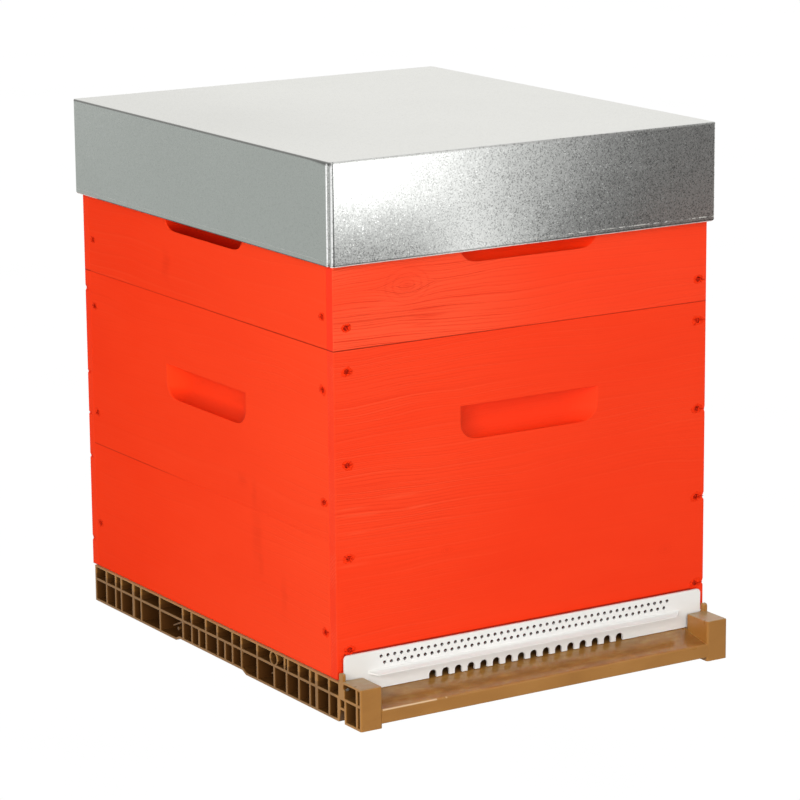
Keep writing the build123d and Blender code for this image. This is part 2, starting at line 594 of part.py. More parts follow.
def side_rail():
    """Left side rail with end block: open cells towards the outside."""
    x0 = floor_x0
    xw = x0 + rail_w - rail_web
    rail = block(x0, x0 + rail_w, block_y1, floor_y1, zb, 0)
    head = block(x0, x0 + block_w, floor_y0, block_y1, zb, block_top)
    head = fillet(line_edges(head, Axis.Z, x=x0 + block_w), 2.4)
    head = fillet(line_edges(head, Axis.Z, x=x0, y=floor_y0), 1.6)
    head = fillet(head.faces().sort_by(Axis.Z)[-1].edges(), 1.3)
    rail = rail + head
    # underside raised in the middle of the length
    rail -= yz_prism([(lift_y[0], zb - 1), (lift_y[0], zb), (lift_y[1], zb + lift), (lift_y[2], zb + lift),
                      (lift_y[3], zb), (lift_y[3], zb - 1)], x0 - 1, x0 + rail_w + 1)
    cuts = []
    xo = x0 - 1
    y_end = floor_y1 - 2.4
    y_start = floor_y0 + 2.4
    # upper row; the head's cells are cut apart
    for a, b in spans(ribs_up, -5.4, y_end):
        if a < boss_y < b:
            continue
        cuts.append(block(xo, xw, a, b, *z_up))
    # cell with the round boss
    cell = block(xo, xw, 96.4, 147.0, *z_up)
    boss = rod((xo - 1, boss_y, -7.5), (1, 0, 0), 7.6, 40)
    bore = rod((xo, boss_y, -7.5), (1, 0, 0), 6.1, xw - xo)
    cuts.append(cell - boss)
    cuts.append(bore)
    # head, upper row
    zh = (z_up[0], 0.6)
    cuts.append(block(xo, x0 + block_w - 2.4, y_start, -39.5, *zh))
    cuts.append(block(xo, x0 + block_w - 2.4, -36.7, -16.0, *zh))
    cuts.append(rod((xo, -16.9, -2.7), (1, 0, 0), 3.3, x0 + block_w - 2.4 - xo))
    # pocket behind the head for the reducer's foot, and a peep hole into it
    cuts.append(block(x0 + 4.4, x0 + rail_w + 1, block_y1, red_y0 + 1.9, red_foot - 0.7, 1.0))
    cuts.append(rod((-0.2, -18.6, -4.5), (0.521, 0.827, -0.215), 1.5, 10.5))
    # head, lower row
    cuts.append(block(xo, x0 + block_w - 2.4, y_start, -39.5, *z_low))
    cuts.append(block(xo, x0 + block_w - 2.4, -36.7, -18.4, *z_low))
    # slot with bridge, open below
    cuts.append(block(xo, x0 + 16, -16.0, -8.4, -23.6, -15.8))
    cuts.append(yz_prism([(-15.6, -25.8), (-8.0, -25.8), (-5.6, zb - 1), (-16.4, zb - 1)], xo, x0 + rail_w + 1))
    # lower row
    for a, b in spans(ribs_low, -3.4, y_end):
        zc = z_low[0]
        if a > lift_y[0] + 5 and b < lift_y[3] - 5:
            cuts.append(block(xo, xw, a, b, zc + lift, z_low[1]))
        elif a < lift_y[0] < b:
            cuts.append(yz_prism([(a, zc), (lift_y[0] - 0.6, zc), (lift_y[1] - 0.6, zc + lift), (b, zc + lift), (b, z_low[1]), (a, z_low[1])], xo, xw))
        elif a < lift_y[3] < b:
            cuts.append(yz_prism([(a, zc + lift), (lift_y[2] + 0.6, zc + lift), (lift_y[3] + 0.6, zc), (b, zc), (b, z_low[1]), (a, z_low[1])], xo, xw))
        else:
            cuts.append(block(xo, xw, a, b, zc, z_low[1]))
    rail = rail - cuts
    # gussets under the middle rib
    adds = []
    for yg in (179.5, 299.3):
        adds.append(yz_prism([(yg - 5.0, -15.6), (yg + 5.0, -15.6), (yg + 1.2, -19.6), (yg - 1.2, -19.6)], x0 + 1.0, xw + 0.5))
    # slanted stays with ejector pegs in two of the deep cells
    adds.append(yz_prism([(115.0, -20.2), (125.4, -24.6), (125.4, -26.2), (115.0, -21.8)], x0 + 3.0, xw + 0.5))
    adds.append(rod((x0 + 5.0, 121.8, -28.6), (1, 0, 0), 1.9, xw - x0 - 4.5))
    adds.append(yz_prism([(302.0, -15.6), (324.6, -25.0), (324.6, -26.6), (302.0, -17.4)], x0 + 3.0, xw + 0.5))
    adds.append(rod((x0 + 5.0, 318.0, -28.2), (1, 0, 0), 1.9, xw - x0 - 4.5))
    # post that keeps the reducer from sliding sideways
    post = block(x0, x0 + 3.8, -13.6, -7.0, -8.0, 10.0)
    post = fillet(line_edges(post, Axis.X, z=10.0), 2.6)
    post = fillet(post.edges().filter_by(Axis.Z).sort_by(Axis.X)[-2:], 1.0)
    adds.append(post)
    return rail + adds


def landing():
    """Hollow landing board between the end blocks, ribbed underneath."""
    xa = floor_x0 + block_w - 1.0
    xb = floor_x1 - block_w + 1.0
    yf = floor_y0
    z_in, z_red, z_front, z_under = -12.6, -12.9, -20.6, -34.3
    y_in, y_red = 27.0, -7.0
    outer = yz_prism([(yf, z_under), (yf, z_front), (y_red, z_red), (y_in, z_in), (y_in, z_under)], xa, xb)
    outer = fillet(line_edges(outer, Axis.X, y=yf, z=z_front), 2.4)
    outer = fillet(line_edges(outer, Axis.X, y=yf, z=z_under), 1.0)
    t = 3.0
    inner = yz_prism([(yf + t, z_under - 1), (yf + t, z_front - t), (y_red, z_red - t), (y_in - t, z_in - t), (y_in - t, z_under - 1)],
                     xa - 1, xb + 1)
    n = 9
    step = (xb - xa) / n
    cells = []
    for k in range(n):
        a = xa + step * k + (1.2 if k else -0.5)
        b = xa + step * (k + 1) - (1.2 if k < n - 1 else -0.5)
        cells.append(inner & block(a, b, yf - 5, y_in + 5, zb - 5, 10))
    return outer - cells


tray_z0 = -32.6           # underside of the tray
tray_z1 = -24.2           # top of its rim
slot_z = (-33.2, -23.4)   # opening for the tray in the rear rail
tray_in = 2.2             # side play of the tray


def floor():
    left = side_rail()
    right = mirror_x(left, floor_xc)
    xa = floor_x0 + rail_w - 0.5
    xb = floor_x1 - rail_w + 0.5
    rear = block(xa, xb, floor_y1 - rail_w, floor_y1, zb, 0)
    cuts = [block(xa + tray_in, xb - tray_in, floor_y1 - 40, floor_y1 + 5, *slot_z)]
    n = 9
    step = (xb - xa) / n
    for k in range(n):
        a = xa + step * k + (1.3 if k else 2.0)
        b = xa + step * (k + 1) - (1.3 if k < n - 1 else 2.0)
        cuts.append(block(a, b, floor_y1 - rail_w + 2.6, floor_y1 + 1, -20.6, -top_rib))
    rear = rear - cuts
    ledge_z = (-18.4, -15.9)
    rails = [
        block(xa, xa + 6.0, 26.0, floor_y1 - rail_w + 0.5, *ledge_z),
        block(xb - 6.0, xb, 26.0, floor_y1 - rail_w + 0.5, *ledge_z),
        block(xa, xb, 26.0, 32.0, *ledge_z),
        block(xa, xb, floor_y1 - rail_w - 5.0, floor_y1 - rail_w + 0.5, *ledge_z),
        # runners for the tray
        block(xa, xa + 8.0, 26.0, floor_y1 - rail_w + 0.5, -36.0, tray_z0 - 0.3),
        block(xb - 8.0, xb, 26.0, floor_y1 - rail_w + 0.5, -36.0, tray_z0 - 0.3),
    ]
    return (left + right) + ([rear, landing()] + rails)


write(floor(), "floor_moulding")

# slotted grid that lies on the ledges
gx0 = floor_x0 + rail_w + 0.5
gx1 = floor_x1 - rail_w - 0.5
gy0, gy1 = 28.0, floor_y1 - rail_w - 0.8
grid = block(gx0, gx1, gy0, gy1, -15.9, -13.3)
slots = []
cols, rows = 44, 8
sx_step = (gx1 - gx0 - 18) / cols
sy_step = (gy1 - gy0 - 16) / rows
for r in range(rows):
    for c in range(cols):
        cx = gx0 + 9 + sx_step * (c + 0.5)
        cy = gy0 + 8 + sy_step * (r + 0.5)
        slots.append(block(cx - 1.7, cx + 1.7, cy - sy_step / 2 + 3.5, cy + sy_step / 2 - 3.5, -17, -12))
write(grid - slots, "vent_grid")

# tray, pulled out to the rear
tx0 = floor_x0 + rail_w + tray_in + 0.4
tx1 = floor_x1 - rail_w - tray_in - 0.4
ty0 = 30.0
ty1 = floor_y1 + 0.6
tray_t = 1.6
tray_w = 1.8
write(block(tx0, tx1, ty0, ty1, tray_z0, tray_z0 + tray_t), "varroa_tray_sheet")
write_group([
    block(tx0, tx0 + tray_w, ty0, ty1, tray_z0 + tray_t, tray_z1),
    block(tx1 - tray_w, tx1, ty0, ty1, tray_z0 + tray_t, tray_z1),
    block(tx0 + tray_w, tx1 - tray_w, ty0, ty0 + tray_w, tray_z0 + tray_t, tray_z1),
    block(tx0 + tray_w, tx1 - tray_w, ty1 - 2.0, ty1, tray_z0 + tray_t, tray_z1),
], "varroa_tray_rim")
face = block(floor_x0 + rail_w + 0.4, floor_x1 - rail_w - 0.4, ty1, ty1 + 2.4, -34.6, -22.0)
face = fillet(line_edges(face, Axis.X, y=ty1 + 2.4), 0.8)
pull = yz_prism([(ty1 + 2.0, -27.6), (ty1 + 9.0, -28.6), (ty1 + 9.0, -30.6), (ty1 + 7.4, -30.6), (ty1 + 7.0, -30.0), (ty1 + 2.0, -29.6)],
                floor_xc - 60, floor_xc + 60)
write(face + pull, "varroa_tray_face")


# --- entrance reducer -------------------------------------------------------
arch_n, arch_pitch, arch_w, arch_h = 16, 14.63, 8.6, 7.7
hole_r, hole_pitch = 1.65, 7.63
hole_rows = ((45, 18.6), (44, 12.0))
foot_x0 = floor_x0 + rail_w + 1.0    # full thickness between the rails
foot_x1 = floor_x1 - rail_w - 1.0


def reducer():
    y1 = red_y0 + red_t
    plate = block(red_x0, red_x1, red_y0, y1, 0.6, red_top)
    top_corners = line_edges(plate, Axis.Y, x=red_x0, z=red_top) + line_edges(plate, Axis.Y, x=red_x1, z=red_top)
    plate = fillet(top_corners, 4.0)
    plate = fillet(line_edges(plate, Axis.X, y=red_y0, z=red_top), 0.5)
    # stiffening rim on the back, lower and shorter than the plate
    rx0, rx1, rz = red_x0 + 6.0, red_x1 - 6.0, red_top - 2.6
    rim = block(rx0, rx1, y1 - 0.2, -1.0, 0.6, rz) - block(rx0 + 2, rx1 - 2, y1 - 1, 1, -1, rz - 2)
    foot = block(foot_x0, foot_x1, red_y0, y1, red_foot, 1.2)
    # thin ends of the foot, behind the end blocks
    ends = block(red_x0 + 1.2, red_x1 - 1.2, red_y0, red_y0 + 1.5, red_foot, 1.2)
    # awning over the arches: thin blade, slanted ends, slightly sloping
    back, front = 182.4, 175.0
    ya = -15.9
    lip = yz_prism([(y1 - 0.5, 3.2), (red_y0, 3.2), (ya, 2.3), (ya, 3.2), (red_y0 - 3.2, 4.5), (red_y0 - 1.2, 5.2),
                    (red_y0, 6.6), (y1 - 0.5, 6.6)], red_xc - back, red_xc + back)
    lip = lip & xy_prism([(red_xc - back, y1), (red_xc - back, red_y0), (red_xc - front, ya - 0.01), (red_xc + front, ya - 0.01),
                          (red_xc + back, red_y0), (red_xc + back, y1)], 0, 8)
    out = plate + [rim, foot, ends, lip]
    cuts = []
    for count, z in hole_rows:
        for k in range(count):
            cuts.append(rod((red_xc + hole_pitch * (k - (count - 1) / 2), red_y0 - 1, z), (0, 1, 0), hole_r, red_t + 2))
    for k in range(arch_n):
        xc = red_xc + arch_pitch * (k - (arch_n - 1) / 2)
        r = arch_w / 2
        top = red_foot + arch_h
        cuts.append(block(xc - r, xc + r, red_y0 - 1, y1 + 1, red_foot - 1, top - r))
        cuts.append(rod((xc, red_y0 - 1, top - r), (0, 1, 0), r, red_t + 2))
    return out - cuts


write(reducer(), "entrance_reducer")
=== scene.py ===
import bpy
import bmesh
import math
import random
from mathutils import Matrix, Vector


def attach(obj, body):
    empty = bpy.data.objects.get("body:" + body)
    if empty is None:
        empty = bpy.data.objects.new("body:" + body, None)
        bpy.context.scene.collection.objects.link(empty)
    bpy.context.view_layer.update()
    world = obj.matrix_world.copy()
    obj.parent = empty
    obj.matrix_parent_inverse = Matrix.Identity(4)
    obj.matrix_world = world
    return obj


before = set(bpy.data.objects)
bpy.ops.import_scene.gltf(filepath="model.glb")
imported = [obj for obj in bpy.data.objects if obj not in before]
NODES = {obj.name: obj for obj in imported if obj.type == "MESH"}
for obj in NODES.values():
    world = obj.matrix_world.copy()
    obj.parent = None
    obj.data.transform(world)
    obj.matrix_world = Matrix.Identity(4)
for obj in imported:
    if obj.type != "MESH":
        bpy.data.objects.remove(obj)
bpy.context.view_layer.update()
scene = bpy.context.scene

# The row frame in metres: front at -Y, +X to the right seen from the front, ground at z = 0.
X0, X1 = -0.215, 0.215            # outer side faces of the boxes
Y0, Y1 = -0.230, 0.270            # outer end faces of the boxes
Z_BODY, Z_SUPER, Z_CROWN = 0.0385, 0.3555, 0.5255

# ---------------------------------------------------------------------------
# camera at the photograph's angle
# ---------------------------------------------------------------------------
cam_data = bpy.data.cameras.new("camera")
cam_data.sensor_fit = "HORIZONTAL"
cam_data.sensor_width = 36.0
cam_data.lens = 157.938
cam_data.clip_start, cam_data.clip_end = 0.1, 60.0
cam_data.dof.use_dof = False
cam = bpy.data.objects.new("camera", cam_data)
scene.collection.objects.link(cam)
right = Vector((0.8459235, -0.5332406, -0.0082406))
up = Vector((0.1258865, 0.1846411, 0.9747104))
back = Vector((-0.5182335, -0.8255678, 0.22332))
rot = Matrix((right, up, back)).transposed().to_4x4()
cam.matrix_world = Matrix.Translation((-1.84864, -2.94758, 1.03595)) @ rot
scene.camera = cam

scene.view_settings.view_transform = "Standard"
scene.view_settings.look = "None"
scene.view_settings.exposure = 0.0
scene.view_settings.gamma = 1.0


# ---------------------------------------------------------------------------
# small node-tree helper
# ---------------------------------------------------------------------------
class Tree:
    def __init__(self, owner):
        owner.use_nodes = True
        self.nt = owner.node_tree
        self.nt.nodes.clear()

    def new(self, kind, **props):
        n = self.nt.nodes.new(kind)
        for k, v in props.items():
            setattr(n, k, v)
        return n

    def put(self, socket, value):
        if value is None:
            return
        if isinstance(value, bpy.types.NodeSocket):
            self.nt.links.new(value, socket)
        elif socket.type == "RGBA" and len(value) == 3:
            socket.default_value = (*value, 1.0)
        else:
            socket.default_value = value

    def math(self, op, a, b=None, c=None, clamp=False):
        n = self.new("ShaderNodeMath", operation=op, use_clamp=clamp)
        for i, v in enumerate((a, b, c)):
            self.put(n.inputs[i], v)
        return n.outputs[0]

    def add(self, a, b): return self.math("ADD", a, b)
    def sub(self, a, b): return self.math("SUBTRACT", a, b)
    def mul(self, a, b): return self.math("MULTIPLY", a, b)
    def madd(self, a, b, c): return self.math("MULTIPLY_ADD", a, b, c)
    def absv(self, a): return self.math("ABSOLUTE", a)
    def lo(self, a, b): return self.math("MINIMUM", a, b)
    def hi(self, a, b): return self.math("MAXIMUM", a, b)

    def vmath(self, op, a, b=None, scale=None):
        n = self.new("ShaderNodeVectorMath", operation=op)
        self.put(n.inputs[0], a)
        self.put(n.inputs[1], b)
        if scale is not None:
            self.put(n.inputs["Scale"], scale)
        return n.outputs["Value"] if op in ("LENGTH", "DOT_PRODUCT", "DISTANCE") else n.outputs[0]

    def xyz(self, vec):
        n = self.new("ShaderNodeSeparateXYZ")
        self.put(n.inputs[0], vec)
        return n.outputs[0], n.outputs[1], n.outputs[2]

    def vec(self, x, y, z):
        n = self.new("ShaderNodeCombineXYZ")
        for i, v in enumerate((x, y, z)):
            self.put(n.inputs[i], v)
        return n.outputs[0]

    def rng(self, v, a, b, c=0.0, d=1.0, smooth=True):
        n = self.new("ShaderNodeMapRange", interpolation_type="SMOOTHSTEP" if smooth else "LINEAR", clamp=True)
        for i, x in enumerate((v, a, b, c, d)):
            self.put(n.inputs[i], x)
        return n.outputs[0]

    def noise(self, vec, scale=5.0, detail=3.0, rough=0.5, distortion=0.0, color=False):
        n = self.new("ShaderNodeTexNoise", noise_dimensions="3D")
        self.put(n.inputs["Vector"], vec)
        self.put(n.inputs["Scale"], scale)
        self.put(n.inputs["Detail"], detail)
        self.put(n.inputs["Roughness"], rough)
        self.put(n.inputs["Distortion"], distortion)
        return n.outputs["Color"] if color else n.outputs[0]

    def voronoi(self, vec, scale=5.0, feature="F1", out="Distance", randomness=1.0):
        n = self.new("ShaderNodeTexVoronoi", voronoi_dimensions="3D", feature=feature)
        self.put(n.inputs["Vector"], vec)
        self.put(n.inputs["Scale"], scale)
        self.put(n.inputs["Randomness"], randomness)
        return n.outputs[out]

    def mix(self, fac, a, b, blend="MIX"):
        n = self.new("ShaderNodeMix", data_type="RGBA", blend_type=blend, clamp_factor=True)
        self.put(n.inputs[0], fac)
        self.put(n.inputs[6], a)
        self.put(n.inputs[7], b)
        return n.outputs[2]

    def mixf(self, fac, a, b):
        n = self.new("ShaderNodeMix", data_type="FLOAT", clamp_factor=True)
        self.put(n.inputs[0], fac)
        self.put(n.inputs[2], a)
        self.put(n.inputs[3], b)
        return n.outputs[0]

    def ramp(self, fac, stops, interp="LINEAR"):
        n = self.new("ShaderNodeValToRGB")
        cr = n.color_ramp
        cr.interpolation = interp
        while len(cr.elements) < len(stops):
            cr.elements.new(0.5)
        for e, (p, c) in zip(cr.elements, stops):
            e.position = p
            e.color = (*c, 1.0) if len(c) == 3 else c
        self.put(n.inputs[0], fac)
        return n.outputs[0]

    def bump(self, height, distance=0.001, strength=1.0, normal=None):
        n = self.new("ShaderNodeBump")
        self.put(n.inputs["Height"], height)
        self.put(n.inputs["Distance"], distance)
        self.put(n.inputs["Strength"], strength)
        self.put(n.inputs["Normal"], normal)
        return n.outputs[0]

    def principled(self, **sockets):
        n = self.new("ShaderNodeBsdfPrincipled")
        for k, v in sockets.items():
            self.put(n.inputs[k.replace("_", " ")], v)
        out = self.new("ShaderNodeOutputMaterial")
        self.nt.links.new(n.outputs[0], out.inputs[0])
        return n

    def coords(self):
        return self.new("ShaderNodeTexCoord").outputs["Object"]

    def normal(self):
        return self.new("ShaderNodeNewGeometry").outputs["Normal"]


def material(name):
    m = bpy.data.materials.new(name)
    return m, Tree(m)


def dress(names, mat):
    """Gives the CAD nodes their finished material."""
    for n in names:
        slots = NODES[n].material_slots
        if len(slots) == 0:
            NODES[n].data.materials.append(mat)
        for s in NODES[n].material_slots:
            s.link = "OBJECT"
            s.material = mat


# ---------------------------------------------------------------------------
# painted boards
# ---------------------------------------------------------------------------
PAINT = (0.905, 0.0400, 0.0062)


def edge_noise(t, u, d, z):
    return t.noise(t.vec(t.mul(u, 60.0), t.mul(d, 60.0), t.mul(z, 60.0)), 1.0, 3.0, 0.6)


def painted_board(name, along, seed, knots=(), lines=1.0, fade_u=None, fade_z=None, floor_level=0.12,
                  smudges=(), grip_z=0.0, cove=0.30, haze=0.13, seams=(), chalky=0.30, tone=1.0, end_chalk=0.75, deep=0.22, joint=0.0, vents=False, coarse=0.85):
    """Brushed paint over planed softwood.  along: 'x' for end boards, 'y' for side boards.

    cove: painted shade on the upward slope of the hand-hold; deep: painted shade over the whole hand-hold;
    seams: heights of the joints to the neighbours, with a painted shadow line along each; joint: height of the joint
    between two planks of one wall; vents: painted shade on the wall behind the entrance strip's air holes and a painted
    shadow line along its upper edge; tone: painted light and shade, scaling the whole board's colour.
    """
    m, t = material(name)
    co = t.coords()
    x, y, z = t.xyz(co)
    if along == "x":
        u, d = x, y
        depth = t.lo(t.sub(y, Y0), t.sub(Y1, y))
    else:
        u, d = y, x
        depth = t.lo(t.sub(x, X0), t.sub(X1, x))
    off = seed * 7.31
    milled = t.rng(depth, 0.0004, 0.0012)

    # growth rings run along the board, wander, and part at the knots
    v = z
    ring = None
    for ku, kz, kr in knots:
        du = t.mul(t.sub(u, ku), 1.0 / (kr * 2.2))
        dz = t.mul(t.sub(z, kz), 1.0 / (kr * 1.5))
        r2 = t.add(t.mul(du, du), t.mul(dz, dz))
        g = t.math("EXPONENT", t.mul(r2, -1.0))
        v = t.madd(t.mul(t.math("SIGN", t.sub(z, kz)), g), -kr * 1.1, v)
        rr = t.math("SQRT", r2)
        tri = t.mul(t.absv(t.sub(t.math("FRACT", t.mul(rr, 2.6)), 0.5)), 2.0)
        near = t.hi(t.rng(rr, 0.10, 0.35, 1.0, 0.0), t.mul(t.rng(tri, 0.45, 1.0), t.rng(rr, 1.75, 0.9)))
        ring = near if ring is None else t.hi(ring, near)
    warp = t.noise(t.vec(t.madd(u, 3.4, off), 0.0, t.mul(v, 10.0)), 1.0, 2.0, 0.55)
    v = t.madd(t.sub(warp, 0.5), 0.030, v)
    wob = t.noise(t.vec(t.madd(u, 12.0, off), 0.0, t.mul(v, 60.0)), 1.0, 2.0, 0.5)
    v = t.madd(t.sub(wob, 0.5), 0.0028, v)

    def contour(f, a, shift=0.0):
        tri = t.mul(t.absv(t.sub(t.math("FRACT", t.add(f, 100.0 + shift)), 0.5)), 2.0)
        return t.rng(tri, a, 1.0)

    pace = t.noise(t.vec(off, 3.0, t.mul(v, 42.0)), 1.0, 2.0, 0.6)
    f1 = t.madd(pace, 3.2, t.mul(v, 128.0))
    f2 = t.madd(pace, 6.0, t.mul(v, 395.0))
    # in the milled hand-hold the cutter crosses the rings, which show as arcs
    dzg = t.sub(z, grip_z)
    f3 = t.mul(t.madd(t.mul(dzg, dzg), 13.0, depth), 760.0)
    broken = t.noise(t.vec(t.madd(u, 9.0, off + 5.0), 0.0, t.mul(z, 160.0)), 1.0, 2.0, 0.6)
    broken = t.rng(broken, 0.34, 0.58, 0.35, 1.0)
    thin = t.mul(contour(f1, 0.78), broken)
    pale = t.mul(contour(f1, 0.72, 0.15), broken)
    fine = t.mul(contour(f2, 0.45), t.rng(broken, 0.2, 1.0, 0.2, 1.0))
    arcs = contour(f3, 0.62)
    patch = t.noise(t.vec(t.madd(u, 4.2, off + 3.0), t.mul(d, 4.0), t.mul(z, 13.0)), 1.0, 2.0, 0.6)
    patch = t.rng(patch, 0.30, 0.60, 0.55, 1.0)
    if fade_u is not None:
        patch = t.mul(patch, t.rng(u, fade_u[0], fade_u[1], 1.0, floor_level))
    if fade_z is not None:
        patch = t.mul(patch, t.rng(z, fade_z[0], fade_z[1], 0.35, 1.0))
    dark_line = t.mul(patch, t.hi(t.mul(thin, coarse), t.mul(fine, 0.42)))
    dark_line = t.mixf(milled, dark_line, t.mul(fine, 0.15))
    pale_line = t.mixf(milled, t.mul(patch, pale), t.mul(arcs, t.rng(depth, 0.0005, 0.0090, 0.85, 0.12)))
    fibre = t.noise(t.vec(t.madd(u, 16.0, off), t.mul(d, 300.0), t.mul(v, 1500.0)), 1.0, 3.0, 0.6)
    brush = t.noise(t.vec(t.madd(u, 22.0, off + 9.0), t.mul(d, 90.0), t.mul(z, 420.0)), 1.0, 2.0, 0.5)
    peel = t.noise(co, 650.0, 2.0, 0.5)
    height = t.madd(dark_line, -0.9 * lines, t.mul(fibre, 0.30 * lines))
    height = t.madd(pale_line, 0.5 * lines, height)
    height = t.madd(brush, 0.26, height)
    height = t.madd(peel, 0.10, height)

    # end grain at the ends of the end boards: slanting hatch of cut growth rings
    nx, ny, nz = t.xyz(t.normal())
    hatch = None
    if along == "x":
        end = t.rng(t.absv(nx), 0.7, 0.9)
        rough_end = t.noise(t.vec(t.mul(d, 90.0), t.mul(d, 180.0), t.madd(z, 70.0, off)), 1.0, 3.0, 0.65)
        hatch = t.madd(t.math("SINE", t.add(t.mul(z, 1550.0), t.madd(d, 1500.0, t.mul(rough_end, 11.0)))), 0.5, 0.5)
        spots = t.rng(t.noise(t.vec(off, t.mul(d, 40.0), t.mul(z, 26.0)), 1.0, 2.0, 0.6), 0.46, 0.66)
        hatch = t.mul(t.mul(hatch, spots), end)
        height = t.mixf(end, height, t.madd(hatch, 0.6, t.mul(rough_end, 0.4)))

    # colour: thin coat; dense rings show darker, raised fibres a little chalky
    big = t.noise(t.vec(t.madd(u, 5.0, off), t.mul(d, 5.0), t.mul(z, 14.0)), 1.0, 3.0, 0.55)
    col = t.ramp(big, [(0.30, (PAINT[0] * 0.975, PAINT[1] * 0.90, PAINT[2] * 0.85)),
                       (0.55, PAINT),
                       (0.75, (PAINT[0] * 1.012, PAINT[1] * 1.10, PAINT[2] * 1.25))])
    chalk = (PAINT[0] * 1.02, PAINT[1] * 1.95, PAINT[2] * 4.0)
    dark = (PAINT[0] * 0.74, PAINT[1] * 0.46, PAINT[2] * 0.35)
    col = t.mix(t.mul(patch, chalky * lines), col, chalk)
    col = t.mix(t.mul(dark_line, 0.62 * lines), col, dark)
    col = t.mix(t.mul(pale_line, 0.45 * max(lines, 0.5)), col, chalk)
    fleck = t.noise(t.vec(t.madd(u, 55.0, off), t.mul(d, 200.0), t.mul(v, 700.0)), 1.0, 2.0, 0.5)
    col = t.mix(t.rng(fleck, 0.70, 0.82, 0.0, 0.25), col, dark)
    if ring is not None:
        col = t.mix(t.mul(ring, 0.22), col, dark)
    us = t.madd(t.sub(wob, 0.5), 0.016, u)
    for su, sz_, ru, rz, amount in smudges:
        e = t.add(t.math("POWER", t.absv(t.mul(t.sub(us, su), 1.0 / ru)), 3.0), t.math("POWER", t.absv(t.mul(t.sub(z, sz_), 1.0 / rz)), 2.0))
        blot = t.mul(t.math("EXPONENT", t.mul(e, -1.0)), t.rng(fibre, 0.30, 0.60, 0.35, 1.0))
        if amount > 0:
            col = t.mix(t.mul(blot, amount), col, dark)
        else:
            col = t.mix(t.mul(blot, -amount), col, chalk)
    if hatch is not None:
        col = t.mix(t.mul(hatch, end_chalk), col, chalk)
    else:
        # side boards: the coat turns a little paler towards the front
        col = t.mix(t.rng(y, 0.16, -0.22, 0.0, 0.42, smooth=False), col, chalk)
    # painted shade in the milled hand-hold: a darker red over all of it, set by deep, and darker still on its upward
    # slope, set by cove
    col = t.mix(t.mul(milled, deep), col, (PAINT[0] * 1.03, PAINT[1] * 0.62, PAINT[2] * 0.30))
    col = t.mix(t.mul(t.mul(t.rng(nz, 0.10, 0.75), milled), cove), col, (PAINT[0] * 0.35, PAINT[1] * 0.10, PAINT[2] * 0.05))
    # painted shadow in the gaps at the joints to the neighbouring boxes, stronger towards the left on the end boards
    # and towards the front on the side boards
    for zs in seams:
        gap = t.rng(t.absv(t.sub(z, zs)), 0.00025, 0.00085)
        depth_of = t.rng(u, -0.20, 0.05, 0.74, 0.46) if along == "x" else t.rng(u, 0.20, -0.22, 0.30, 0.72)
        col = t.mix(t.mul(t.sub(1.0, gap), depth_of), col, (0.20, 0.006, 0.0015))
    if joint:
        shut = t.rng(t.absv(t.sub(z, joint)), 0.0002, 0.0009, 1.0, 0.0)
        col = t.mix(t.mul(shut, t.rng(y, 0.04, 0.15, 0.04, 0.42)), col, (0.20, 0.006, 0.0015))
    if vents:
        # painted shade on the wall behind the entrance strip's air holes, and a painted shadow line along the strip's
        # upper edge
        shade_behind_holes = t.mul(t.mul(t.rng(z, 0.0440, 0.0490), t.rng(z, 0.0628, 0.0588)), t.rng(t.absv(t.add(x, 0.002)), 0.190, 0.174))
        col = t.mix(t.mul(shade_behind_holes, t.rng(edge_noise(t, u, d, z), 0.30, 0.70, 0.66, 0.74)), col, (0.060, 0.020, 0.010))
        rim = t.mul(t.mul(t.rng(z, 0.0637, 0.0627), t.rng(z, 0.0600, 0.0606)), t.mul(t.rng(x, -0.2085, -0.2065), t.rng(x, 0.2040, 0.2020)))
        col = t.mix(t.mul(rim, 0.72), col, (0.15, 0.006, 0.002))
    # painted light and shade: the whole board's colour is scaled brighter or darker by tone
    if tone != 1.0:
        col = t.vmath("SCALE", col, scale=tone)

    # bare wood inside
    edge = edge_noise(t, u, d, z)
    bare = t.rng(t.madd(edge, 0.006, depth), 0.0190, 0.0200)
    w_tone = t.mixf(t.hi(t.mul(thin, 0.8), t.mul(fine, 0.5)), t.mul(big, 0.5), 0.85)
    wood = t.ramp(w_tone, [(0.10, (0.62, 0.43, 0.235)), (0.45, (0.545, 0.345, 0.165)), (0.9, (0.36, 0.185, 0.075))])
    col = t.mix(bare, col, wood)
    rough = t.mixf(bare, t.madd(brush, 0.16, 0.44), 0.72)

    p = t.principled(Base_Color=col, Roughness=rough, Normal=t.bump(height, 0.00026, 0.8))
    p.inputs["Specular IOR Level"].default_value = haze
    return m


GB, GS = Z_BODY + 0.2305, Z_SUPER + 0.085        # heights of the hand-holds
BODY_SEAMS, SUPER_SEAMS = (Z_BODY, Z_SUPER), (Z_SUPER,)
PLANKS = Z_BODY + 0.1335
dress(["body_front_wall"], painted_board("paint_body_front", "x", 1,
      knots=[(-0.0912, 0.1472, 0.0026), (0.1674, 0.1085, 0.0030)], lines=1.15, fade_u=(-0.150, 0.02), fade_z=(0.12, 0.21),
      floor_level=0.36, grip_z=GB, seams=BODY_SEAMS, haze=0.10, chalky=0.306, cove=0.16, tone=0.965, vents=True, coarse=0.50,
      smudges=[(-0.1968, 0.2034, 0.016, 0.0013, -0.75), (-0.1925, 0.1962, 0.018, 0.0012, -0.70), (-0.177, 0.1949, 0.011, 0.0011, -0.65),
               (-0.144, 0.2081, 0.019, 0.0017, -0.62), (-0.123, 0.1953, 0.013, 0.0012, -0.62), (-0.1927, 0.1788, 0.012, 0.0010, -0.62),
               (-0.196, 0.1483, 0.016, 0.0011, -0.75), (-0.182, 0.2228, 0.035, 0.0035, 0.18)]))
dress(["body_rear_wall"], painted_board("paint_body_rear", "x", 2, knots=[(0.09, 0.20, 0.010)], lines=0.9, grip_z=GB,
      seams=BODY_SEAMS, haze=0.03, end_chalk=0.12))
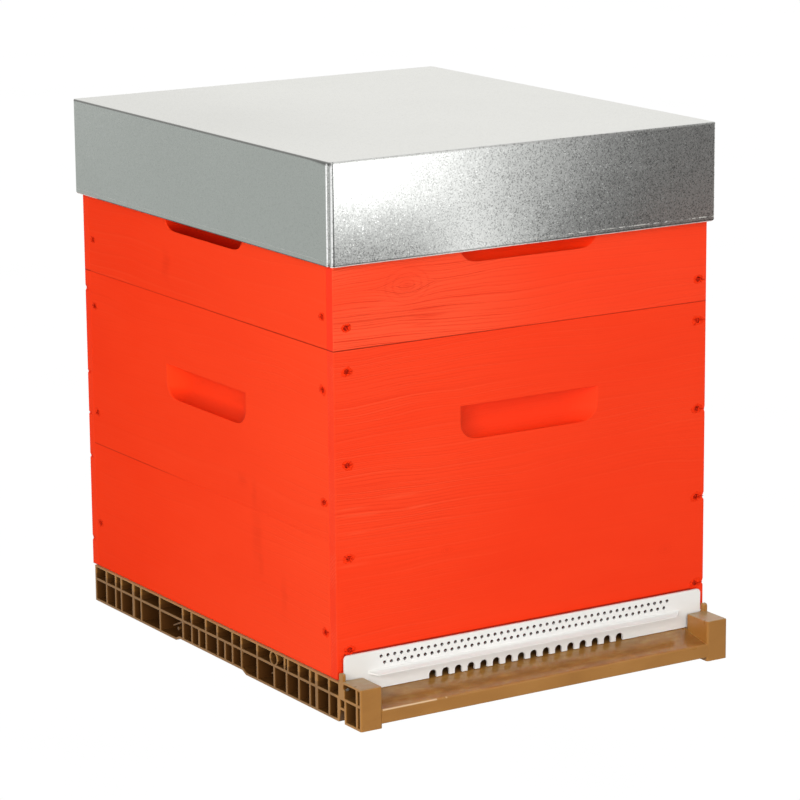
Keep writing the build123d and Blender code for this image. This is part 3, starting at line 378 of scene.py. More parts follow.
dress(["super_front_wall"], painted_board("paint_super_front", "x", 3,
      knots=[(-0.134, 0.4097, 0.0095)], lines=1.7, fade_u=(-0.12, 0.06), floor_level=0.25, grip_z=GS, seams=SUPER_SEAMS,
      chalky=0.62, cove=0.0, tone=0.99, deep=0.85,
      smudges=[(-0.112, 0.3847, 0.017, 0.0013, 0.55), (-0.1121, 0.3777, 0.018, 0.0013, 0.50), (-0.1166, 0.3705, 0.013, 0.0011, 0.40),
               (0.0455, 0.4285, 0.0040, 0.0022, 0.85)]))
dress(["super_rear_wall"], painted_board("paint_super_rear", "x", 4, knots=[(-0.06, 0.42, 0.010)], lines=0.9, grip_z=GS,
      seams=SUPER_SEAMS, haze=0.03, end_chalk=0.12))
dress(["body_left_lower_plank"], painted_board("paint_left_lower", "y", 5, lines=0.46, chalky=0.222, fade_u=(-0.17, -0.02),
      floor_level=0.42, tone=1.02, cove=0.42, grip_z=GB, seams=BODY_SEAMS, haze=0.022, joint=PLANKS,
      smudges=[(-0.0825, 0.146, 0.0095, 0.026, 0.42), (-0.0895, 0.120, 0.0045, 0.012, 0.30), (-0.132, 0.0975, 0.0055, 0.017, 0.36)]))
dress(["body_left_upper_plank"], painted_board("paint_left_upper", "y", 6, lines=0.46, chalky=0.222, fade_u=(-0.17, -0.02),
      floor_level=0.42, tone=1.01, cove=0.42, grip_z=GB, seams=BODY_SEAMS, haze=0.022, joint=PLANKS,
      smudges=[(-0.0825, 0.146, 0.0095, 0.026, 0.42), (-0.077, 0.187, 0.0045, 0.013, 0.32), (-0.0545, 0.197, 0.0085, 0.006, 0.38)]))
dress(["body_right_lower_plank"], painted_board("paint_right_lower", "y", 7, lines=0.5, grip_z=GB, seams=BODY_SEAMS, haze=0.07, joint=PLANKS))
dress(["body_right_upper_plank"], painted_board("paint_right_upper", "y", 8, knots=[(0.13, 0.22, 0.010)], lines=0.5, grip_z=GB,
      seams=BODY_SEAMS, haze=0.07, joint=PLANKS))
dress(["super_left_wall"], painted_board("paint_super_left", "y", 9, lines=0.20, grip_z=GS, seams=SUPER_SEAMS, haze=0.022, cove=0.95, tone=0.985, deep=0.75,
      smudges=[(0.0925, 0.388, 0.0075, 0.0130, 0.30), (-0.0775, 0.360, 0.012, 0.0012, -0.35)]))
dress(["super_right_wall"], painted_board("paint_super_right", "y", 10, lines=0.5, grip_z=GS, seams=SUPER_SEAMS, haze=0.07, cove=0.7))


# ---------------------------------------------------------------------------
# bare wood of frames and crown board
# ---------------------------------------------------------------------------
def bare_wood(name, along, seed, light=(0.66, 0.47, 0.27), mid=(0.56, 0.365, 0.18), dark=(0.40, 0.22, 0.095)):
    m, t = material(name)
    co = t.coords()
    x, y, z = t.xyz(co)
    if along == "y":
        vec = t.vec(t.mul(x, 60.0), t.madd(y, 3.0, seed * 5.3), t.mul(z, 60.0))
        fine = t.vec(t.mul(x, 900.0), t.madd(y, 18.0, seed * 5.3), t.mul(z, 900.0))
    else:
        vec = t.vec(t.mul(x, 60.0), t.mul(y, 60.0), t.madd(z, 3.0, seed * 5.3))
        fine = t.vec(t.mul(x, 900.0), t.mul(y, 900.0), t.madd(z, 18.0, seed * 5.3))
    body = t.noise(vec, 1.0, 3.0, 0.55)
    rings = t.madd(t.math("SINE", t.mul(body, 34.0)), 0.5, 0.5)
    fib = t.noise(fine, 1.0, 3.0, 0.6)
    piece = t.noise(t.vec(t.mul(x, 26.0), seed * 1.7, 0.0), 1.0, 0.0, 0.5)
    tone = t.madd(rings, 0.45, t.madd(fib, 0.25, t.mul(piece, 0.3)))
    col = t.ramp(tone, [(0.22, light), (0.50, mid), (0.80, dark)])
    h = t.madd(rings, 0.4, fib)
    t.principled(Base_Color=col, Roughness=t.madd(fib, 0.15, 0.58), Normal=t.bump(h, 0.00018, 0.7))
    return m


WOOD_Y = bare_wood("frame_wood_long", "y", 1)
WOOD_Z = bare_wood("frame_wood_upright", "z", 2)
dress(["brood_top_bars", "brood_bottom_bars", "super_top_bars", "super_bottom_bars"], WOOD_Y)
dress(["brood_side_bars", "super_side_bars"], WOOD_Z)
PLY = bare_wood("crown_plywood", "y", 3, (0.70, 0.53, 0.33), (0.62, 0.44, 0.25), (0.50, 0.32, 0.16))
dress(["crown_board_panel", "crown_board_plug"], PLY)


# ---------------------------------------------------------------------------
# metal
# ---------------------------------------------------------------------------
ROOF_TOP, ROOF_BOT = 0.5337, 0.4357
ROOF_X, ROOF_YF, ROOF_YR = 0.220, -0.236, 0.276


def galvanised(name, tint=(0.752, 0.758, 0.748), spangle=1.0, roof=False):
    """Zinc coat: fine spangle that tilts the surface, clouding; on the roof painted shade along the bends and in the
    fold, painted light on the top, a painted highlight on the crease above the hem.
    """
    m, t = material(name)
    co = t.coords()
    x, y, z = t.xyz(co)
    n = t.normal()
    nx, ny, nz = t.xyz(n)
    cell = t.voronoi(co, 1020.0, "F1", "Color")
    cell2 = t.voronoi(t.vmath("ADD", co, (0.37, 0.11, 0.53)), 330.0, "F1", "Color")
    tilt = t.vmath("SUBTRACT", cell, (0.5, 0.5, 0.5))
    tilt2 = t.vmath("SUBTRACT", cell2, (0.5, 0.5, 0.5))
    r, g, b = t.xyz(cell)
    pick = t.math("FRACT", t.mul(t.add(r, t.add(g, b)), 7.31))
    # most grains lie nearly flat, a few stand out of the plane, others are dull and dark
    amount = t.rng(pick, 0.86, 0.98, 0.012 * spangle, 0.07 * spangle)
    lean = t.vmath("ADD", t.vmath("SCALE", tilt, scale=amount), t.vmath("SCALE", tilt2, scale=0.006 * spangle))
    nn = t.vmath("NORMALIZE", t.vmath("ADD", n, lean))
    cloud = t.noise(co, 9.0, 3.0, 0.55)
    tone = t.madd(r, 0.05 * spangle, t.mul(cloud, 0.10))
    col = t.ramp(tone, [(0.0, tuple(c * 0.95 for c in tint)), (0.20, tuple(min(1.0, c * 1.05) for c in tint))])
    dull = t.mul(t.rng(pick, 0.36, 0.06), t.madd(b, 0.5, 0.5))
    # dull dark grains; they are made denser where the sheet's reflection is dark, which paints in part of that dark
    # reflection
    dull_in_dark_reflection = t.rng(x, -0.17, 0.06, 0.34, 0.78)
    dull_in_dark_reflection = t.hi(dull_in_dark_reflection, t.mul(t.rng(x, -0.08, -0.14), t.rng(z, 0.478, 0.442, 0.0, 0.66)))
    ends_on = t.mixf(t.rng(t.absv(ny), 0.5, 0.8), 0.14, dull_in_dark_reflection)
    col = t.mix(t.mul(t.mul(dull, ends_on), spangle), col, tuple(c * 0.10 for c in tint))
    glint = t.mul(t.rng(pick, 0.80, 0.95), t.mul(t.rng(t.absv(ny), 0.5, 0.8), t.rng(x, -0.05, 0.12, 0.04, 0.62 * spangle)))
    col = t.mix(glint, col, (1.0, 1.0, 0.99))
    streak = t.noise(t.vec(t.mul(x, 4.0), t.mul(y, 4.0), t.mul(z, 260.0)), 1.0, 2.0, 0.5)
    rough = t.madd(g, 0.04 * spangle, t.madd(streak, 0.03, 0.130))
    metal = None
    if roof:
        side = t.rng(nz, 0.55, 0.93, 1.0, 0.0)
        rough = t.mixf(side, t.add(rough, 0.17), rough)
        # painted shade along the bends, wider towards the corners of the long sides and stronger towards the right on
        # the end skirts; the bends are rougher too
        long_side = t.rng(t.absv(nx), 0.30, 0.60)
        to_end = t.rng(y, -0.185, -0.230)
        wide = t.mul(t.mul(t.mul(to_end, to_end), long_side), 0.0026)
        low = t.sub(ROOF_TOP - 0.0027, wide)
        bend = t.mul(t.rng(z, low, t.add(t.madd(wide, 0.8, low), 0.0012)), side)
        strength = t.mixf(long_side, t.rng(x, -0.12, 0.12, 0.05, 0.55), 0.74)
        col = t.mix(t.mul(bend, strength), col, (0.05, 0.05, 0.048))
        rough = t.mixf(bend, rough, 0.40)
        # the fold at the left front: painted shade in its slit and on its second roll, and a painted shadow line beside
        # it
        from_side, from_front = t.add(x, ROOF_X), t.sub(y, ROOF_YF)
        here = t.mul(t.rng(from_side, 0.0060, 0.0050), t.rng(from_front, 0.0110, 0.0100))
        closed = t.rng(z, ROOF_TOP - 0.0048, ROOF_TOP - 0.0066)
        slit = t.mul(t.rng(from_front, 0.0062, 0.0052), t.mul(t.rng(from_front, 0.0022, 0.0030), t.mul(closed, t.rng(from_side, 0.0003, 0.0010))))
        roll = t.mul(t.rng(from_front, 0.0030, 0.0022), t.rng(from_side, 0.0036, 0.0032))
        line = t.mul(t.rng(t.absv(t.sub(from_side, 0.00355)), 0.0002, 0.0006, 1.0, 0.0), t.rng(from_front, 0.0012, 0.0006))
        fold = t.mul(here, t.hi(t.mul(slit, 0.62), t.hi(t.mul(roll, 0.17), t.mul(line, 0.78))))
        col = t.mix(fold, col, (0.05, 0.05, 0.048))
        # painted light: the top's colour is made brighter than the skirts'
        col = t.vmath("SCALE", col, scale=t.madd(side, -0.145, 1.145))
        # painted shade: the top is made darker towards its left
        col = t.mix(t.mul(t.sub(1.0, side), t.mul(t.rng(x, 0.0, -0.20, 0.0, 0.10), t.rng(y, -0.20, 0.05))), col, (0.20, 0.20, 0.19))
        # painted highlight: bright dots along the crease above the hem, on the end skirts, where the coat is made less
        # metallic
        crease = t.rng(t.absv(t.sub(z, ROOF_BOT + 0.0049)), 0.00025, 0.00070, 1.0, 0.0)
        ends = t.mul(t.rng(t.absv(ny), 0.5, 0.8), t.rng(x, -0.05, 0.03))
        dots = t.noise(t.vec(t.mul(x, 210.0), t.mul(y, 210.0), 0.0), 1.0, 3.0, 0.7)
        crease_highlight = t.mul(t.mul(crease, ends), t.rng(dots, 0.46, 0.58, 0.0, 0.70))
        col = t.mix(crease_highlight, col, (0.62, 0.60, 0.54))
        # lower edge: darker along the long sides, a painted shade band just above it on the end skirts, and pinkish
        # patches on it at the ends
        rise = t.sub(z, ROOF_BOT)
        low_edge = t.rng(rise, 0.0005, 0.0009, 1.0, 0.0)
        shade_edge = t.mul(t.mul(t.rng(rise, 0.0007, 0.0010), t.rng(rise, 0.0026, 0.0016)), t.rng(t.absv(ny), 0.5, 0.8))
        col = t.mix(t.mul(shade_edge, 0.55), col, (0.05, 0.05, 0.05))
        at_ends = t.rng(t.absv(y), 0.225, 0.233)
        col = t.mix(t.mul(t.sub(1.0, at_ends), t.mul(low_edge, 0.75)), col, (0.10, 0.085, 0.08))
        trace = t.mul(t.mul(low_edge, at_ends), t.rng(dots, 0.30, 0.60, 0.45, 0.90))
        col = t.mix(trace, col, (0.80, 0.58, 0.53))
        metal = t.sub(t.sub(1.0, crease_highlight), t.mul(trace, 0.8))
    wave = t.noise(co, 14.0, 2.0, 0.5)
    p = t.principled(Base_Color=col, Metallic=metal, Roughness=rough, Normal=t.bump(wave, 0.0006, 0.4, nn))
    if metal is None:
        p.inputs["Metallic"].default_value = 1.0
    return m


GALV = galvanised("galvanised_sheet", roof=True)
dress(["roof_sheet"], GALV)
dress(["brood_frame_rests", "super_frame_rests", "brood_bottom_spacers"], galvanised("galvanised_strip", (0.70, 0.72, 0.71), 0.7))


def steel(name, tint, rough0, paint=0.0):
    m, t = material(name)
    co = t.coords()
    a = t.noise(co, 420.0, 3.0, 0.6)
    b = t.noise(co, 90.0, 2.0, 0.5)
    col = t.ramp(a, [(0.3, tuple(c * 0.72 for c in tint)), (0.7, tint)])
    if paint:
        cover = t.rng(b, 0.20, 0.34, 0.6 * paint, paint)
        col = t.mix(cover, col, (0.86, 0.028, 0.0040))
        metal = t.mixf(cover, 1.0, 0.0)
    else:
        metal = 1.0
    t.principled(Base_Color=col, Metallic=metal, Roughness=t.madd(b, 0.2, rough0), Normal=t.bump(a, 0.00008, 0.6))
    return m


dress(["brood_rest_nails", "super_rest_nails", "brood_spacer_nails", "brood_frame_nails", "super_frame_nails"],
      steel("bright_nails", (0.62, 0.61, 0.59), 0.28))
dress(["brood_frame_wires", "super_frame_wires"], steel("stainless_wire", (0.72, 0.71, 0.69), 0.22))
dress(["body_corner_screws", "super_corner_screws"], steel("painted_screws", (0.10, 0.012, 0.006), 0.65, 0.97))


def torn_paint():
    """Paint and fibres around a sunk screw: red on the surface, painted shade in the hole."""
    m, t = material("torn_paint")
    co = t.coords()
    x, y, z = t.xyz(co)
    depth = t.lo(t.lo(t.sub(x, X0), t.sub(X1, x)), t.lo(t.sub(y, Y0), t.sub(Y1, y)))
    a = t.noise(co, 900.0, 3.0, 0.6)
    hole = t.rng(t.madd(a, 0.0003, depth), 0.00005, 0.00060)
    col = t.ramp(a, [(0.35, (PAINT[0] * 0.80, PAINT[1] * 0.60, PAINT[2] * 0.6)), (0.62, PAINT)])
    col = t.mix(hole, col, t.ramp(a, [(0.40, (0.12, 0.003, 0.0008)), (0.60, (0.54, 0.014, 0.0024))]))
    p = t.principled(Base_Color=col, Roughness=t.madd(a, 0.2, 0.55), Normal=t.bump(a, 0.00025, 0.8))
    p.inputs["Specular IOR Level"].default_value = 0.04
    return m


TORN = torn_paint()


def split_paint():
    """Cracks in the coat, dark red: painted shade of the crevices."""
    m, t = material("split_paint")
    co = t.coords()
    a = t.noise(co, 1300.0, 3.0, 0.6)
    col = t.ramp(a, [(0.38, (0.34, 0.003, 0.0008)), (0.62, (0.74, 0.026, 0.0040))])
    p = t.principled(Base_Color=col, Roughness=t.madd(a, 0.2, 0.55), Normal=t.bump(a, 0.0002, 0.8))
    p.inputs["Specular IOR Level"].default_value = 0.03
    return m


SPLIT = split_paint()


def torn_marks(name, body, places, seed):
    """Ragged collars around the screw holes, one mesh for each box.

    places: (point on the surface, outward direction, size, length of the split to the nearest edge).
    """
    rnd = random.Random(seed)
    bm = bmesh.new()
    for p, out, size, split in places:
        p, out = Vector(p), Vector(out)
        side = Vector((0, 0, 1)).cross(out)
        upv = Vector((0, 0, 1))

        def at(a, b, h):
            return bm.verts.new(p + side * (a * 0.001) + upv * (b * 0.001) + out * (h * 0.001))

        n = 19
        turn = rnd.uniform(0, 6.28)
        long_a = rnd.uniform(-0.5, 0.5)
        rings = []
        for kind in range(4):
            ring = []
            for k in range(n):
                a = turn + 2 * math.pi * k / n
                stretch = 1.0 + 0.20 * math.cos(2 * (a - long_a))
                if kind == 0:
                    r, h = rnd.uniform(4.6, 6.2) * stretch * size, 0.02
                elif kind == 1:
                    r, h = rnd.uniform(3.3, 4.2) * size, rnd.uniform(0.05, 0.42)
                elif kind == 2:
                    r, h = rnd.uniform(2.2, 3.05), rnd.uniform(-0.35, 0.22)
                else:
                    r, h = rnd.uniform(0.8, 1.9) / stretch, rnd.uniform(-0.80, -0.45)
                ring.append(at(r * math.cos(a), r * math.sin(a), h))
            rings.append(ring)
        for a, b in zip(rings, rings[1:]):
            for k in range(n):
                j = (k + 1) % n
                bm.faces.new((a[k], a[j], b[j], b[k]))
        # cracks that run out of the hole, mostly along the grain, and towards a near edge
        runs = [(rnd.choice((0.0, math.pi)) + rnd.uniform(-0.75, 0.75), rnd.uniform(4.2, 7.0) * size) for _ in range(5)]
        runs += [(rnd.uniform(0, 6.28), rnd.uniform(3.6, 5.0) * size) for _ in range(3)]
        if split:
            runs += [(rnd.uniform(-0.12, 0.12) + (0.0 if split > 0 else math.pi), 9.4) for _ in range(2)]
        for a, far in runs:
            w = rnd.uniform(0.45, 0.85)
            bend = rnd.uniform(-0.25, 0.25)
            c, s = math.cos(a), math.sin(a)
            mid = 0.5 * (2.4 + far)
            pts = [(2.4, -w), (mid, -0.6 * w + bend), (far, bend * 1.6), (mid, 0.6 * w + bend), (2.4, w)]
            low = [at(q * c - e * s, q * s + e * c, 0.03) for q, e in pts]
            top = [at(q * c - e * s * 0.5, q * s + e * c * 0.5, 0.46 if i in (0, 4) else 0.20) for i, (q, e) in enumerate(pts)]
            faces = [bm.faces.new(top), bm.faces.new(low[::-1])]
            for i in range(5):
                j = (i + 1) % 5
                faces.append(bm.faces.new((low[i], low[j], top[j], top[i])))
            for f in faces:
                f.material_index = 1
    bmesh.ops.recalc_face_normals(bm, faces=bm.faces)
    me = bpy.data.meshes.new(name)
    bm.to_mesh(me)
    bm.free()
    me.materials.append(TORN)
    me.materials.append(SPLIT)
    o = bpy.data.objects.new(name, me)
    scene.collection.objects.link(o)
    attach(o, body)
    return o


def screw_places(z_front, z_side, z0, size):
    """The screws' points, in millimetres from the box's left front lower corner, brought into the frame."""
    def f(x, y, z):
        return (X0 + x * 0.001, Y0 + y * 0.001, z0 + z * 0.001)
    out = []
    for z in z_front:
        out += [(f(14, 0, z), (0, -1, 0), size, 0), (f(420, 0, z + 1.5), (0, -1, 0), size * 1.1, 1),
                (f(10, 500, z + 1.5), (0, 1, 0), size * 1.1, 1), (f(416, 500, z), (0, 1, 0), size, 0)]
    for zf, zr in z_side:
        out += [(f(0, 20.5, zf), (-1, 0, 0), size, 0), (f(0, 479.5, zr), (-1, 0, 0), size * 0.9, 0),
                (f(430, 20.5, zr), (1, 0, 0), size, 0), (f(430, 479.5, zf), (1, 0, 0), size * 0.9, 0)]
    return out


torn_marks("body_torn_paint", "brood_body",
           screw_places([27.5, 117.0, 207.0, 296.5], [(42.0, 48.0), (169.0, 168.0), (277.0, 281.0)], Z_BODY, 1.0), 11)
torn_marks("super_torn_paint", "honey_super",
           screw_places([21.0, 139.0], [(30.0, 34.0), (128.0, 131.0)], Z_SUPER, 0.9), 12)


# ---------------------------------------------------------------------------
# wax and plastics
# ---------------------------------------------------------------------------
def wax_sheet():
    m, t = material("beeswax_foundation")
    co = t.coords()
    x, y, z = t.xyz(co)
    # pressed cells: hexagons of 5.4 mm between flats, from two offset grids
    w = 0.0054
    hgt = w * math.sqrt(3.0)

    def centre_dist(oy, oz):
        a = t.mul(t.sub(t.math("FRACT", t.add(t.mul(y, 1.0 / w), oy)), 0.5), w)
        b = t.mul(t.sub(t.math("FRACT", t.add(t.mul(z, 1.0 / hgt), oz)), 0.5), hgt)
        a, b = t.absv(a), t.absv(b)
        return t.hi(a, t.add(t.mul(a, 0.5), t.mul(b, math.sqrt(3.0) / 2)))

    hexd = t.lo(centre_dist(0.0, 0.0), centre_dist(0.5, 0.5))
    wall = t.rng(hexd, w * 0.36, w * 0.5)
    n = t.noise(co, 30.0, 3.0, 0.5)
    col = t.ramp(n, [(0.3, (0.60, 0.36, 0.065)), (0.7, (0.76, 0.50, 0.13))])
    col = t.mix(t.mul(wall, 0.35), col, (0.86, 0.64, 0.26))
    p = t.principled(Base_Color=col, Roughness=t.madd(n, 0.2, 0.42), Normal=t.bump(wall, 0.0007, 0.9))
    p.inputs["Subsurface Weight"].default_value = 0.15
    p.inputs["Subsurface Radius"].default_value = (0.002, 0.001, 0.0004)
    return m


dress(["brood_foundation", "super_foundation"], wax_sheet())


def brown_plastic(name):
    """Moulded plastic: flow marks, scuffs, painted shade in the rail cells and on the floor behind the entrance, a
    glossy landing board with painted shade on its top and a painted highlight along its front edge.
    """
    m, t = material(name)
    co = t.coords()
    x, y, z = t.xyz(co)
    flow = t.noise(t.vec(t.mul(x, 9.0), t.mul(y, 26.0), t.mul(z, 26.0)), 1.0, 4.0, 0.55, 0.6)
    fine = t.noise(co, 1400.0, 2.0, 0.5)
    col = t.ramp(flow, [(0.28, (0.300, 0.126, 0.0230)), (0.52, (0.345, 0.150, 0.0300)), (0.75, (0.385, 0.176, 0.0400))])
    col = t.mix(t.rng(fine, 0.55, 0.75, 0.0, 0.20), col, (0.40, 0.20, 0.055))
    nx, ny, nz = t.xyz(t.normal())
    upward = t.rng(nz, 0.5, 0.9)
    scuff = t.noise(t.vec(t.mul(x, 60.0), t.mul(y, 140.0), t.mul(z, 140.0)), 1.0, 4.0, 0.6)
    dust = t.mul(upward, t.rng(scuff, 0.40, 0.66, 0.10, 0.42))
    col = t.mix(dust, col, t.mix(t.rng(z, 0.030, 0.034), (0.49, 0.318, 0.095), (0.36, 0.365, 0.225)))
    col = t.mix(t.mul(upward, t.rng(z, 0.030, 0.034, 0.0, 0.38)), col, (0.300, 0.275, 0.150))
    # painted shade on the floor behind the entrance
    col = t.mix(t.mul(t.rng(y, -0.2330, -0.2250, 0.0, 0.62), t.rng(z, 0.030, 0.029)), col, (0.070, 0.028, 0.008))
    # painted shade deep in the open cells of the side rails
    inside = t.lo(t.add(x, 0.2175), t.sub(0.2105, x))
    rail_cell_shade = t.mul(t.rng(inside, 0.0002, 0.0016), t.rng(inside, 0.0224, 0.0232, 1.0, 0.0))
    rail_cell_shade = t.mul(rail_cell_shade, t.mul(t.rng(z, 0.0369, 0.0373, 1.0, 0.0), t.mul(t.rng(y, -0.2738, -0.2734), t.rng(y, 0.2592, 0.2597, 1.0, 0.0))))
    col = t.mix(t.rng(t.absv(t.sub(inside, 0.0)), 0.0001, 0.0003, 0.35, 0.0), col, (0.43, 0.225, 0.085))
    # slanted stays and pegs stand clear of the painted shade
    clear = None
    for ya, yb, za, yp, zp in ((0.0715, 0.0950, 0.0220, 0.0880, 0.0103), (-0.1155, -0.1042, 0.0175, -0.1082, 0.0099)):
        off_line = t.absv(t.sub(t.madd(t.sub(y, ya), 0.416, z), za))
        stay = t.mul(t.rng(off_line, 0.0016, 0.0011), t.mul(t.rng(y, ya - 0.0005, ya), t.rng(y, yb + 0.0005, yb)))
        dy, dz = t.sub(y, yp), t.sub(z, zp)
        peg = t.rng(t.math("SQRT", t.madd(dy, dy, t.mul(dz, dz))), 0.0023, 0.0020)
        both = t.hi(stay, peg)
        clear = both if clear is None else t.hi(clear, both)
    clear = t.mul(clear, t.mul(t.rng(inside, 0.0024, 0.0028), t.rng(inside, 0.0150, 0.0120)))
    rail_cell_shade = t.mul(rail_cell_shade, t.madd(clear, -0.62, 1.0))
    col = t.mix(t.mul(rail_cell_shade, t.rng(inside, 0.001, 0.014, 0.82, 0.88)), col, (0.055, 0.018, 0.0040))
    # the landing board is polished by wear; its top carries painted shade, darker in blotches
    landing_polish_and_shade = t.mul(t.mul(t.rng(y, -0.2350, -0.2380), upward), t.mul(t.rng(x, -0.1930, -0.1920), t.rng(x, 0.1845, 0.1855, 1.0, 0.0)))
    landing_polish_and_shade = t.mul(landing_polish_and_shade, t.rng(z, 0.0275, 0.0285, 1.0, 0.0))
    blotch = t.noise(t.vec(t.mul(x, 22.0), t.mul(y, 40.0), 0.0), 1.0, 4.0, 0.6, 0.8)
    col = t.mix(t.mul(landing_polish_and_shade, t.rng(blotch, 0.36, 0.64, 0.10, 0.50)), col, (0.17, 0.070, 0.016))
    # painted highlight along the front edge of the landing board, broken, strongest at the left, between the two end
    # blocks
    ey = t.rng(t.absv(t.add(y, 0.2745)), 0.0, 0.0022, 1.0, 0.0)
    ez = t.rng(t.absv(t.sub(z, 0.0174)), 0.0, 0.0010, 1.0, 0.0)
    broken = t.noise(t.vec(t.mul(x, 120.0), 0.0, 0.0), 1.0, 3.0, 0.65)
    fade = t.rng(x, -0.165, -0.085, 0.0, 0.44)
    between = t.mul(t.rng(x, -0.1935, -0.1925), t.rng(x, 0.184, 0.186, 1.0, 0.0))
    front_edge_highlight = t.mul(t.mul(t.mul(ey, ez), between), t.rng(broken, t.add(fade, 0.27), t.add(fade, 0.37)))
    col = t.mix(front_edge_highlight, col, (0.86, 0.70, 0.46))
    mottle = t.noise(t.vec(t.mul(x, 55.0), t.mul(y, 90.0), t.mul(z, 90.0)), 1.0, 3.0, 0.6)
    rough = t.madd(mottle, 0.22, t.madd(scuff, 0.10, 0.16))
    rough = t.mixf(landing_polish_and_shade, rough, t.madd(blotch, 0.22, 0.03))
    h = t.madd(fine, 0.22, t.madd(scuff, 0.6, t.mul(flow, 0.8)))
    p = t.principled(Base_Color=col, Roughness=rough, Normal=t.bump(h, 0.00010, 0.6))
    p.inputs["Specular IOR Level"].default_value = 0.42
    return m


def pale_plastic(name, light, dark, rough0=0.34, holes=False):
    m, t = material(name)
    co = t.coords()
    x, y, z = t.xyz(co)
    a = t.noise(t.vec(t.mul(x, 12.0), t.mul(y, 30.0), t.mul(z, 30.0)), 1.0, 3.0, 0.5)
    f = t.noise(co, 1200.0, 2.0, 0.5)
    s = t.noise(t.vec(t.mul(x, 90.0), t.mul(y, 300.0), t.mul(z, 300.0)), 1.0, 3.0, 0.6)
    col = t.ramp(t.madd(s, 0.3, t.mul(a, 0.7)), [(0.3, dark), (0.65, light)])
    if holes:
        # painted shade on the walls of the two rows of air holes
        pitch = 0.00763
        at = t.mul(t.add(x, 0.0034), 1.0 / pitch)
        d1 = t.mul(t.sub(t.math("FRACT", t.add(at, 0.5)), 0.5), pitch)
        d2 = t.mul(t.sub(t.math("FRACT", at), 0.5), pitch)
        z1, z2 = t.sub(z, 0.0571), t.sub(z, 0.0505)
        r1 = t.math("SQRT", t.madd(d1, d1, t.mul(z1, z1)))
        r2 = t.math("SQRT", t.madd(d2, d2, t.mul(z2, z2)))
        far = t.absv(at)
        r1 = t.add(r1, t.math("GREATER_THAN", far, 22.5))
        r2 = t.add(r2, t.math("GREATER_THAN", far, 22.0))
        hole_shade = t.rng(t.lo(r1, r2), 0.00168, 0.00178, 0.94, 0.0)
        col = t.mix(hole_shade, col, (0.035, 0.024, 0.018))
        # painted shade on downward-facing faces, and upward-facing faces painted a little darker
        under = t.xyz(t.normal())[2]
        col = t.mix(t.rng(under, -0.15, -0.60, 0.0, 0.55), col, (0.36, 0.345, 0.325))
        col = t.mix(t.rng(under, 0.15, 0.60, 0.0, 0.70), col, (0.70, 0.688, 0.662))
        shade = t.add(t.rng(z, 0.0290, 0.0385, 0.0, 0.55), t.rng(z, 0.0358, 0.0374, 0.0, 0.75))
        shade = t.mul(t.mul(shade, t.rng(z, 0.0425, 0.0415)), t.rng(y, -0.2342, -0.2337))
        shade = t.mul(shade, t.mul(t.rng(x, -0.188, -0.180), t.rng(x, 0.182, 0.174)))
        col = t.mix(t.mul(shade, 0.46), col, (0.40, 0.365, 0.325))
        col = t.mix(t.rng(x, -0.165, -0.200, 0.0, 0.30), col, (0.62, 0.590, 0.530))
    h = t.madd(f, 0.3, t.madd(s, 0.5, a))
    t.principled(Base_Color=col, Roughness=t.madd(s, 0.16, rough0), Normal=t.bump(h, 0.00009, 0.6))
    return m


BROWN = brown_plastic("brown_plastic")
dress(["floor_moulding", "vent_grid"], BROWN)
WHITE = pale_plastic("white_plastic", (0.822, 0.811, 0.785), (0.775, 0.763, 0.735), holes=True)
dress(["entrance_reducer"], WHITE)
dress(["varroa_tray_sheet", "varroa_tray_rim", "varroa_tray_face"],
      pale_plastic("tray_plastic", (0.80, 0.79, 0.76), (0.72, 0.71, 0.68), 0.4))


# ---------------------------------------------------------------------------
# floor, studio light
# ---------------------------------------------------------------------------
def plane(name, corners, mat):
    me = bpy.data.meshes.new(name)
    me.from_pydata([tuple(c) for c in corners], [], [(0, 1, 2, 3)])
    me.uv_layers.new(name="uv")
    for i, uv in enumerate(((0, 0), (1, 0), (1, 1), (0, 1))):
        me.uv_layers[0].data[i].uv = uv
    me.materials.append(mat)
    o = bpy.data.objects.new(name, me)
    scene.collection.objects.link(o)
    return o


def shine(t, colour, strength=1.0):
    e = t.new("ShaderNodeEmission")
    t.put(e.inputs["Color"], colour)
    e.inputs["Strength"].default_value = strength
    return e.outputs[0]


def blend(t, fac, a, b):
    n = t.new("ShaderNodeMixShader")
    t.put(n.inputs[0], fac)
    t.nt.links.new(a, n.inputs[1])
    t.nt.links.new(b, n.inputs[2])
    return n.outputs[0]


def studio_floor():
    """Pale sweep: burnt out white to the eye, a soft grey for the light it sends back."""
    m, t = material("studio_floor")
    lp = t.new("ShaderNodeLightPath")
    x, y, z = t.xyz(t.coords())
    n = t.noise(t.vec(x, y, 0.0), 3.0, 2.0, 0.5)
    white = shine(t, t.ramp(n, [(0.3, (1.0, 1.0, 1.0)), (0.7, (1.01, 1.01, 1.01))]))
    bounce = shine(t, (0.46, 0.46, 0.455))
    right_back = t.rng(t.add(x, t.mul(y, 0.6)), 0.25, 1.1)
    mirror = shine(t, t.mix(right_back, (0.459, 0.491, 0.467), (0.95, 0.95, 0.94)))
    seen = blend(t, lp.outputs["Is Camera Ray"], bounce, white)
    seen = blend(t, lp.outputs["Is Glossy Ray"], seen, mirror)
    out = t.new("ShaderNodeOutputMaterial")
    t.nt.links.new(seen, out.inputs[0])
    return m


FLOOR = plane("studio_floor", [(-14, -14, 0), (14, -14, 0), (14, 14, 0), (-14, 14, 0)], studio_floor())


def gloss_only(o):
    o.visible_camera = False
    o.visible_diffuse = False
    o.visible_shadow = False
    o.visible_transmission = False


